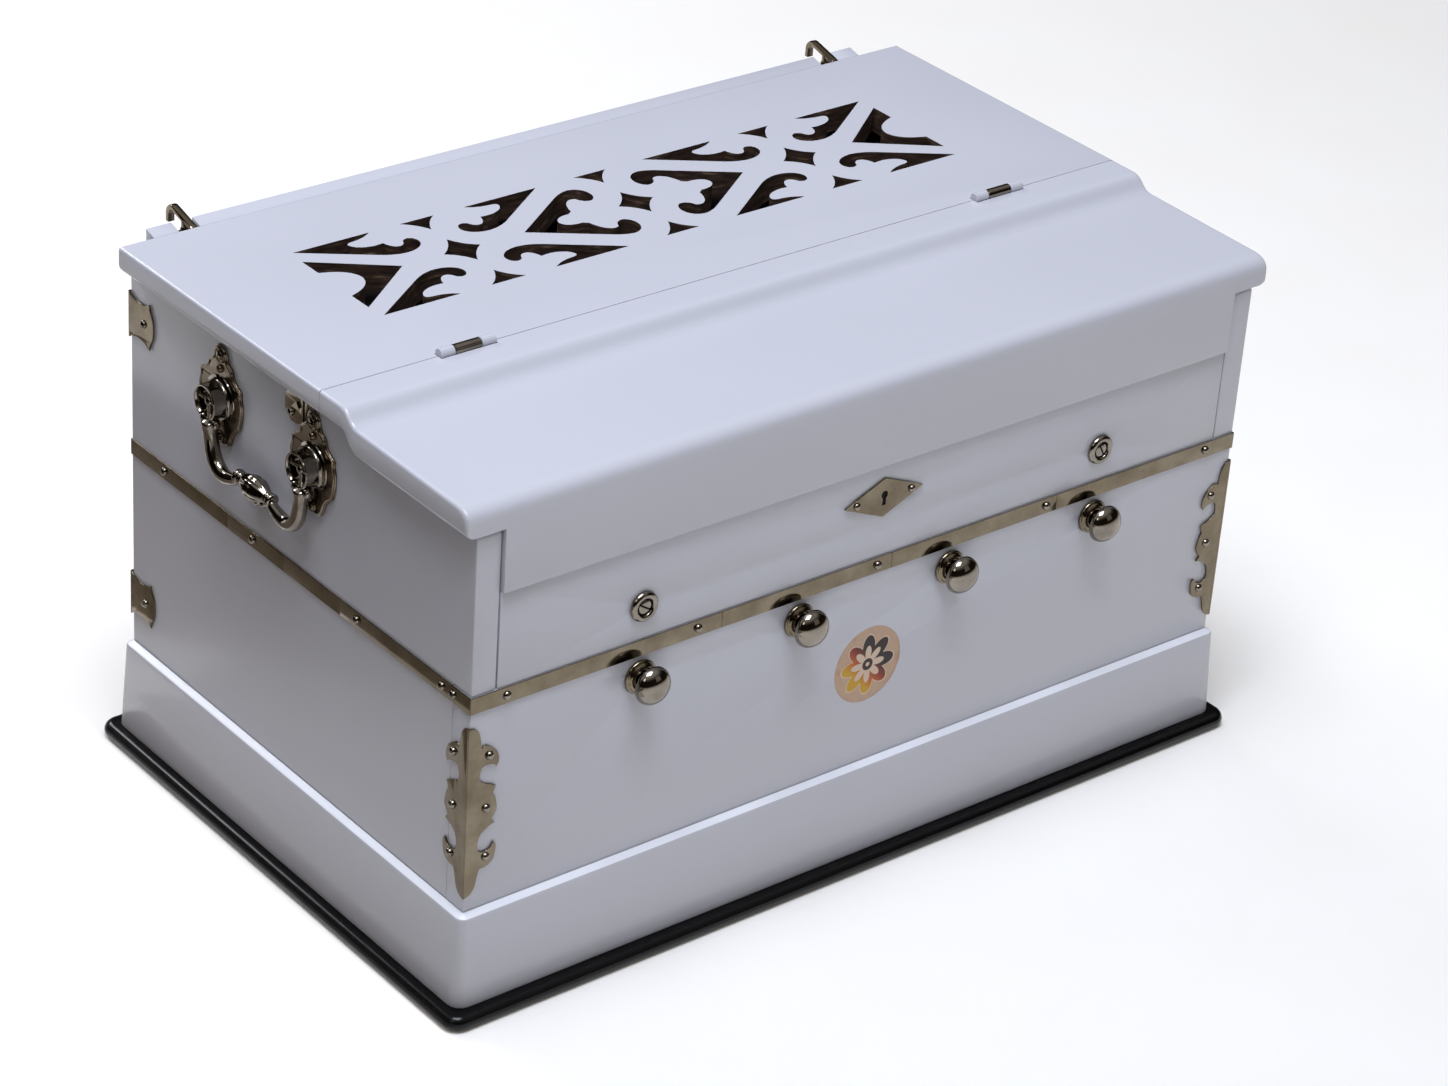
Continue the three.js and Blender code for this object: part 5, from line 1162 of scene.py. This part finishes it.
# Faded peach print under dull varnish: petals with a cream outline, dark at the top right and
# yellow at the bottom left, and faint fox marks
sticker_high, sticker_radius = 75.0, 28.0
middle = at(0, 0, sticker_high)
from_middle = add(tree, "ShaderNodeVectorMath", {0: where, 1: tuple(middle)}, operation="SUBTRACT")
spread = add(tree, "ShaderNodeSeparateXYZ", {"Vector": from_middle}).outputs
turn = add(tree, "ShaderNodeMath", {0: spread["Z"], 1: spread["X"]}, operation="ARCTAN2")
squares = add(tree, "ShaderNodeMath", {0: spread["Z"], 1: 2.0}, operation="POWER")
reach_squared = add(tree, "ShaderNodeMath", {0: spread["X"], 1: spread["X"], 2: squares}, operation="MULTIPLY_ADD")
from_centre = add(tree, "ShaderNodeMath", {0: reach_squared}, operation="SQRT")
petal_count, petal_mean, petal_swing = 8.0, 13.5 * MM, 8.5 * MM
petal_turn = add(tree, "ShaderNodeMath", {0: turn, 1: petal_count / 2}, operation="MULTIPLY")
wave = add(tree, "ShaderNodeMath", {0: petal_turn}, operation="COSINE")
lobe = add(tree, "ShaderNodeMath", {0: wave}, operation="ABSOLUTE")
edge_at = add(tree, "ShaderNodeMath", {0: lobe, 1: petal_swing, 2: petal_mean}, operation="MULTIPLY_ADD")
past_edge = add(tree, "ShaderNodeMath", {0: from_centre, 1: edge_at}, operation="SUBTRACT")
fox = add(tree, "ShaderNodeTexNoise", {"Vector": where, "Scale": 60.0, "Detail": 5.0, "Roughness": 0.6})
ground = add(tree, "ShaderNodeValToRGB", {"Fac": fox}, {0.35: "#BE9C80", 0.55: "#C2A288", 0.72: "#B28E72"})
slope = add(tree, "ShaderNodeMath", {0: spread["X"], 1: spread["Z"]}, operation="ADD")
fade = add(tree, "ShaderNodeMapRange", {"Value": slope, "From Min": -20 * MM, "From Max": 16 * MM})
petal_ink = add(tree, "ShaderNodeValToRGB", {"Fac": fade}, {
    0.05: "#C99A12", 0.3: "#C4620E", 0.55: "#8E2A0C", 0.8: "#26100C",
})
# Each ink lies over the ones before it, between two distances in millimetres
printed, soft_edge = ground, 0.15
for ink, distance, low, high in ((linear("#D8BFA8"), past_edge, -40.0, 1.1), (petal_ink, past_edge, -8.0, 0.0),
                                 (linear("#2A120C"), from_centre, 1.6, 4.4)):
    rising, falling = [add(tree, "ShaderNodeMapRange", {
        "Value": distance, "From Min": (edge - soft_edge) * MM, "From Max": (edge + soft_edge) * MM,
        "To Min": start, "To Max": 1.0 - start,
    }) for edge, start in ((low, 0.0), (high, 1.0))]
    mask = add(tree, "ShaderNodeMath", {0: rising, 1: falling}, operation="MULTIPLY")
    printed = add(tree, "ShaderNodeMix", {"Factor": mask, "A": printed, "B": ink}, data_type="RGBA")
finish_material(tree, {"Base Color": printed, "Roughness": 0.42, "IOR": 1.45}, fox, 0.3, 0.0002)
disc = turned([(0, 0.02), (sticker_radius - 0.1, 0.02), (sticker_radius, 0.08), (sticker_radius - 0.12, 0.16),
               (sticker_radius - 3, 0.2), (0, 0.2)], middle, front_way, 96)
keep_piece("front_sticker_rosette", disc, sticker_ink, "case", "white_lacquer")


# Bellows hooks: flat bars bent over, one at each end of the bellows board, each turning on a pin
# across its notch. Nickel-plated steel, the bends left a little sharp by the vice.
hook_at, hook_half_wide, hook_thick = 272.0, 2.5, 3.8
hook_path = [(386.9, 289.5), (386.9, 296.6), (412.2, 303.0), (416.0, 299.2), (416.0, 291.0)]


def ribbon(path, thick, corner=2.6):
    """The outline of a flat bar bent along a path, its bends rounded."""
    line = [Vector(path[0])]
    for before, here, after in zip(path, path[1:], path[2:]):
        before, here, after = Vector(before), Vector(here), Vector(after)
        start, stop = [here + (end - here).normalized() * min(corner, (end - here).length * 0.49)
                       for end in (before, after)]
        line += [start] + [Vector(p) for p in bezier([tuple(start), tuple(here), tuple(stop)], 6)]
    line.append(Vector(path[-1]))
    above, below = [], []
    for i, p in enumerate(line):
        slope = (line[min(i + 1, len(line) - 1)] - line[max(i - 1, 0)]).normalized()
        aside = Vector((-slope.y, slope.x)) * thick / 2
        above.append(tuple(p + aside))
        below.append(tuple(p - aside))
    return above + below[::-1]


def bent_bar(path, thick, x0, x1, edge):
    """A flat bar bent along a path, its long edges eased."""
    half = [(0.0, edge), (edge * 0.3, edge * 0.3), (edge, 0.0)]
    stations = [(x0 + inset, less) for inset, less in half] + [(x1 - inset, less) for inset, less in half[::-1]]
    return skin([[at(x, u, v) for u, v in ribbon(path, thick - 2 * less)] for x, less in stations])


hook_pin_y, hook_pin_z, hook_pin_half, hook_web_half, hook_web_top = 397.0, 291.0, 10.6, 1.8, 298.6
for side, hand in ((-1, "left"), (1, "right")):
    x = side * hook_at
    near, far = x - hook_half_wide, x + hook_half_wide
    hook = [bent_bar(hook_path, hook_thick, near, far, 0.7),
            slab(near, far, hook_pin_y - hook_web_half, hook_pin_y + hook_web_half, hook_pin_z, hook_web_top),
            barrel_along(3.6, near, far, hook_pin_y, hook_pin_z, 0.5),
            barrel_along(1.6, x - hook_pin_half, x + hook_pin_half, hook_pin_y, hook_pin_z, 0.3, 20)]
    keep_piece(f"bellows_hook_{hand}_bent", gathered(hook), old_nickel, f"hook_{hand}", "nickel",
               f"bellows_hook_{hand}")


# Bellows hinge: a steel strip hinge along the foot of the bellows board, screwed to the case and
# to the board through two leaves, with five long knuckles on one wire.
strap_half, strap_y, strap_z, strap_leaf, strap_barrel = 220.0, 389.25, 3.6, 16.0, 2.4
strap_thick, strap_low = 1.0, strap_z + 2.6
knuckle_long = strap_half * 2 / 5
for first, body, name, near, web_low in ((0, "case", "fixed", case_deep + 0.1, strap_z + 1.2 - 0.2),
                                         (1, "bellows_flap", "moving", 392.0 - 0.1 - strap_thick, strap_z + 2.4 - 0.2)):
    far = near + strap_thick
    strip = [slab(-strap_half, strap_half, near, far, strap_low, strap_z + strap_leaf, 0.15)]
    for i in range(first, 5, 2):
        x0, x1 = -strap_half + i * knuckle_long + 0.3, -strap_half + (i + 1) * knuckle_long - 0.3
        strip += [barrel_along(strap_barrel, x0, x1, strap_y, strap_z, 0.25, 20),
                  slab(x0, x1, min(near, strap_y), max(far, strap_y), web_low, strap_low + 0.4, 0.1)]
    if body == "case":
        strip.append(barrel_along(1.0, -strap_half + 0.2, strap_half - 0.2, strap_y, strap_z, 0.2, 12))
    keep_piece(f"bellows_hinge_{name}_strip", gathered(strip), zinc_steel, body, "steel", f"bellows_hinge_{name}")


# Bellows: folded book cloth glued to card ribs, between the pocket in the back of the case and the
# board that is pumped. Three folds; the cloth is a worn dark red. The tree folds a plain tube: every
# point moves out along its normal by a rounded zigzag of its place.
fold_tree, given, fold_keys = open_tree("folded_cloth", "Folded", {
    "Tube": "Geometry", "Along": "Vector", "Start": "Float", "Pitch": "Float", "Depth": "Float", "Finish": "Material",
})
place = add(fold_tree, "GeometryNodeInputPosition")
along = add(fold_tree, "ShaderNodeVectorMath", {0: place, 1: given["Along"]}, operation="DOT_PRODUCT")
started = add(fold_tree, "ShaderNodeMath", {0: along, 1: given["Start"]}, operation="SUBTRACT")
pitched = add(fold_tree, "ShaderNodeMath", {0: started, 1: given["Pitch"]}, operation="DIVIDE")
wave = add(fold_tree, "ShaderNodeMath", {0: pitched, 1: 0.5}, operation="PINGPONG")
rounded = add(fold_tree, "ShaderNodeMapRange", {"Value": wave, "From Min": 0.03, "From Max": 0.47},
              interpolation_type="SMOOTHSTEP")
sharp = add(fold_tree, "ShaderNodeMath", {0: wave, 1: 2.0}, operation="MULTIPLY")
shape = add(fold_tree, "ShaderNodeMix", {0: 0.35, 2: sharp, 3: rounded})
deep = add(fold_tree, "ShaderNodeMath", {0: shape, 1: given["Depth"]}, operation="MULTIPLY")
push = add(fold_tree, "ShaderNodeVectorMath", {0: add(fold_tree, "GeometryNodeInputNormal"), "Scale": deep},
           operation="SCALE")
pushed = add(fold_tree, "GeometryNodeSetPosition", {"Geometry": given["Tube"], "Offset": push})
close_tree(fold_tree, "Folded", pushed, given["Finish"])


def folded(tube, along, start, pitch, depth):
    """A tube of book cloth, its folds counted from a start along one way."""
    settings = {"Along": along, "Start": start, "Pitch": pitch, "Depth": depth, "Finish": book_cloth}
    return grown(link("tube", mesh_of("tube", tube)), fold_tree, fold_keys, settings)


book_cloth, tree, where = new_material("woven_book_cloth")
# Dark red book cloth: a plain weave, drawn at 1.1 mm where the real threads are about 0.5 mm apart,
# with the dye gone paler and greyer on the worn folds
worn = add(tree, "ShaderNodeTexNoise", {"Vector": where, "Scale": 24.0, "Detail": 5.0, "Roughness": 0.6})
dye = add(tree, "ShaderNodeValToRGB", {"Fac": worn}, {0.3: "#3B1416", 0.55: "#501C1C", 0.75: "#6B3A33"})
warp, weft = [add(tree, "ShaderNodeTexWave", {"Vector": where, "Scale": 145.0, "Distortion": 0.4}, bands_direction=way)
              for way in "XZ"]
weave = add(tree, "ShaderNodeMath", {0: warp.outputs["Fac"], 1: weft.outputs["Fac"]}, operation="MULTIPLY")
finish_material(tree, {"Base Color": dye, "Roughness": 0.85, "Sheen Weight": 0.3}, weave, 0.5, 0.0002)

cloth_near, cloth_far, cloth_folds, cloth_depth = 372.8, 391.7, 3, 8.0
cloth_x, cloth_low, cloth_top, tube_steps = 270.0 - cloth_depth, 22.0 + cloth_depth, 266.0 - cloth_depth, 36


def tube_between(x0, x1, z0, z1, near, far, corner, steps, turn_up):
    """A plain closed tube of rounded rectangles, along the case's depth or its height."""
    levels = [(0.0, near + (far - near) * k / steps) for k in range(steps + 1)]
    tube = rounded_stack(x0, x1, z0, z1, levels, corner, 5)
    if turn_up:
        for v in tube.verts:
            flat = (v.co - at(0, 0, 0)) / MM
            v.co = at(flat.x, flat.z, flat.y)
    return outward(tube)


cloth_tube = tube_between(-cloth_x, cloth_x, cloth_low, cloth_top, cloth_near, cloth_far, 5.0, tube_steps, True)
bellows = keep_piece("bellows_cloth_folded", folded(
    cloth_tube, (0.0, 1.0, 0.0), at(0, cloth_near, 0).y, (cloth_far - cloth_near) * MM / cloth_folds, cloth_depth * MM,
), book_cloth, None, "bellows_cloth", "bellows_cloth", sharp=60)
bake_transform(bellows)


# Air reservoir: a folded cloth bag between two thin boards under the reed board, pressed shut by
# springs in the real instrument. Book cloth on card, and poplar boards.

# Wood has long streaks along the case, with darker late wood and fine pores
streaks, pores = (2.0, 6.0, 0.62, (4.0, 38.0, 38.0)), (1.0, 2.0, 0.5, (90.0, 1500.0, 1500.0))
# Pale planed poplar, a little rough to the touch
poplar = clouded("planed_poplar", streaks, {0.34: "#A8814F", 0.5: "#BD9866", 0.68: "#CBAA7C"}, 0.6, (0.35, 0.0002),
                 pores)
bag_low, bag_top, bag_board, bag_depth, bag_folds = 92.0, 195.7, 6.0, 9.0, 5
bag_x, bag_front, bag_rear, bag_tuck = 240, 72, 330, 0.5
bag_near, bag_far = bag_low + bag_board, bag_top - bag_board
bag_tube = tube_between(-bag_x + bag_depth, bag_x - bag_depth, bag_front + bag_depth, bag_rear - bag_depth,
                        bag_near - bag_tuck, bag_far + bag_tuck, 6.0, 50, False)
keep_piece("air_reservoir_folded", folded(
    bag_tube, (0.0, 0.0, 1.0), at(0, 0, bag_near - bag_tuck).z, (bag_far - bag_near + 1.0) * MM / bag_folds,
    bag_depth * MM,
), book_cloth, "case", "bellows_cloth", "air_reservoir", sharp=60)
bag_boards = [slab(-bag_x + 0.5, bag_x - 0.5, bag_front + 0.5, bag_rear - 0.5, low, low + bag_board, 1.0)
              for low in (bag_low, bag_far)]
keep_piece("air_reservoir_boards", gathered(bag_boards), poplar, "case", "dark_wood")


# Key bed, reed board and inner cover: boards of dark hardwood across the inside of the case. The
# inner cover is what shows, nearly black, through the fretwork; its fascia stands behind the keys.

# Oiled dark wood: deep brown streaks that only show where light falls on them
dark_wood = clouded("oiled_dark_hardwood", streaks, {0.34: "#0E0907", 0.5: "#181009", 0.68: "#261911"}, 0.6,
                    (0.35, 0.0002), pores)
for board, edge in (("key_bed", 0.6), ("reed_board", 1.0), ("inner_cover", 0.8)):
    keep_piece(board + "_planed", eased(board, edge), dark_wood, "case", "dark_wood", board)


# Keyboard: naturals of poplar with plates and fronts of ivory celluloid, sharps of blackened
# hardwood with sloped fronts. All hang over a balance rail; only the middle seven are cut free.

# Ivory celluloid: warm white, low gloss, with the straight faint lines that imitate tusk grain
ivory = clouded("ivory_celluloid", (1.0, 2.0, 0.5, (700.0, 14.0, 30.0)), {0.3: "#DCCFB0", 0.6: "#E9DFC8"}, 0.28,
                (0.1, 0.00006), IOR=1.5)
# Blackened hardwood rubbed to a shine: fine open grain along each key, brown on the worn tops
ebony = clouded("blackened_hardwood", (1.0, 3.0, 0.5, (900.0, 30.0, 900.0)), {0.35: "#0B0908", 0.7: "#1C1512"}, 0.34,
                (0.25, 0.0001), IOR=1.5)

pitch, key_gap, key_front, key_tail, key_pivot = 22.4, 0.9, 21.0, 245.0, 150.0
key_under, key_top, plate_deep, sharp_from, sharp_to, sharp_top = 222.0, 236.0, 2.0, 71.0, 148.0, 246.0
sharp_half, pad_long, pad_low, comb_long = 5.05, 25.0, 214.6, 12.0
letters = "cdefgab"


def sharp_follows(natural):
    return 0 <= natural < 24 and letters[natural % 7] in "cdfga"


def natural_parts(natural):
    """Plate and front of celluloid, then the wooden body, of one natural."""
    left, right = (natural - 12.5) * pitch + key_gap / 2, (natural - 11.5) * pitch - key_gap / 2
    notch = sharp_half + key_gap
    tail_left = left + notch if sharp_follows(natural - 1) else left
    tail_right = right - notch if sharp_follows(natural) else right
    step = sharp_from - key_gap

    def plan(back, ease=0.0):
        line = [(left, key_front + ease), (right, key_front + ease), (right, step), (tail_right, step),
                (tail_right, back), (tail_left, back), (tail_left, step), (left, step)]
        return [p for i, p in enumerate(line) if p != line[i - 1]]

    seat = key_top - plate_deep
    plate = softened(prism(plan(key_pivot - 0.4), at, seat, key_top), 0.45, 2, 60)
    body = prism(plan(key_tail, 1.5), at, key_under, seat)
    front = slab(left + 0.2, right - 0.2, key_front + 0.5, key_front + 1.8, key_under + 0.4, seat + 0.1, 0.2, 1)
    back = slab(tail_left, tail_right, key_pivot, key_tail, seat - 0.3, key_top, 0.3, 1)
    pad = slab(tail_left, tail_right, key_tail - pad_long, key_tail, pad_low, key_under + 0.3, 0.3, 1)
    return [plate, front], [body, back, pad]


def sharp_part(natural):
    """One sharp: a wedge with a sloped front, and its tail."""
    middle = (natural - 11.5) * pitch
    side = [(sharp_from, key_under), (key_tail - pad_long, key_under), (key_tail - pad_long, pad_low),
            (key_tail, pad_low), (key_tail, key_top), (sharp_to, key_top), (sharp_to, sharp_top),
            (sharp_from + 4.0, sharp_top), (sharp_from, key_top)]
    return softened(prism(side, from_side, middle - sharp_half, middle + sharp_half), 0.7, 3, 20)


def keep_natural(name, plates, bodies, ride, node):
    """Keeps naturals as one piece: their celluloid first, then their wood."""
    groups = [gathered(plates), gathered(bodies)]
    for index, group in enumerate(groups):
        for face in group.faces:
            face.material_index = index
    keep_piece(name, gathered(groups), [ivory, poplar], ride, "key_ivory", node)


for name, first_key, last_key in (("keys_low", 0, 10), ("keys_high", 14, 25)):
    plates, bodies = [], []
    for natural in range(first_key, last_key):
        plate, body = natural_parts(natural)
        plates += plate
        bodies += body
    left, right = (first_key - 12.5) * pitch + key_gap / 2, (last_key - 12.5) * pitch - key_gap / 2
    bodies.append(slab(left, right, key_pivot + 0.5, key_pivot + comb_long, key_under + 0.2, key_top + 1.2, 0.4))
    keep_natural(name + "_naturals", plates, bodies, "case", name)
    sharps = [sharp_part(natural) for natural in range(first_key, last_key) if sharp_follows(natural)]
    keep_piece(name + "_sharps", gathered(sharps), ebony, "case", "key_black")
for natural in range(10, 14):
    key = f"key_{letters[natural % 7]}"
    keep_natural(key + "_natural", *natural_parts(natural), key, key)
    if sharp_follows(natural):
        keep_piece(key + "_sharp_wedge", sharp_part(natural), ebony, key + "_sharp", "key_black", key + "_sharp")

for form in (nail_form, screw_form):
    bpy.data.objects.remove(form)
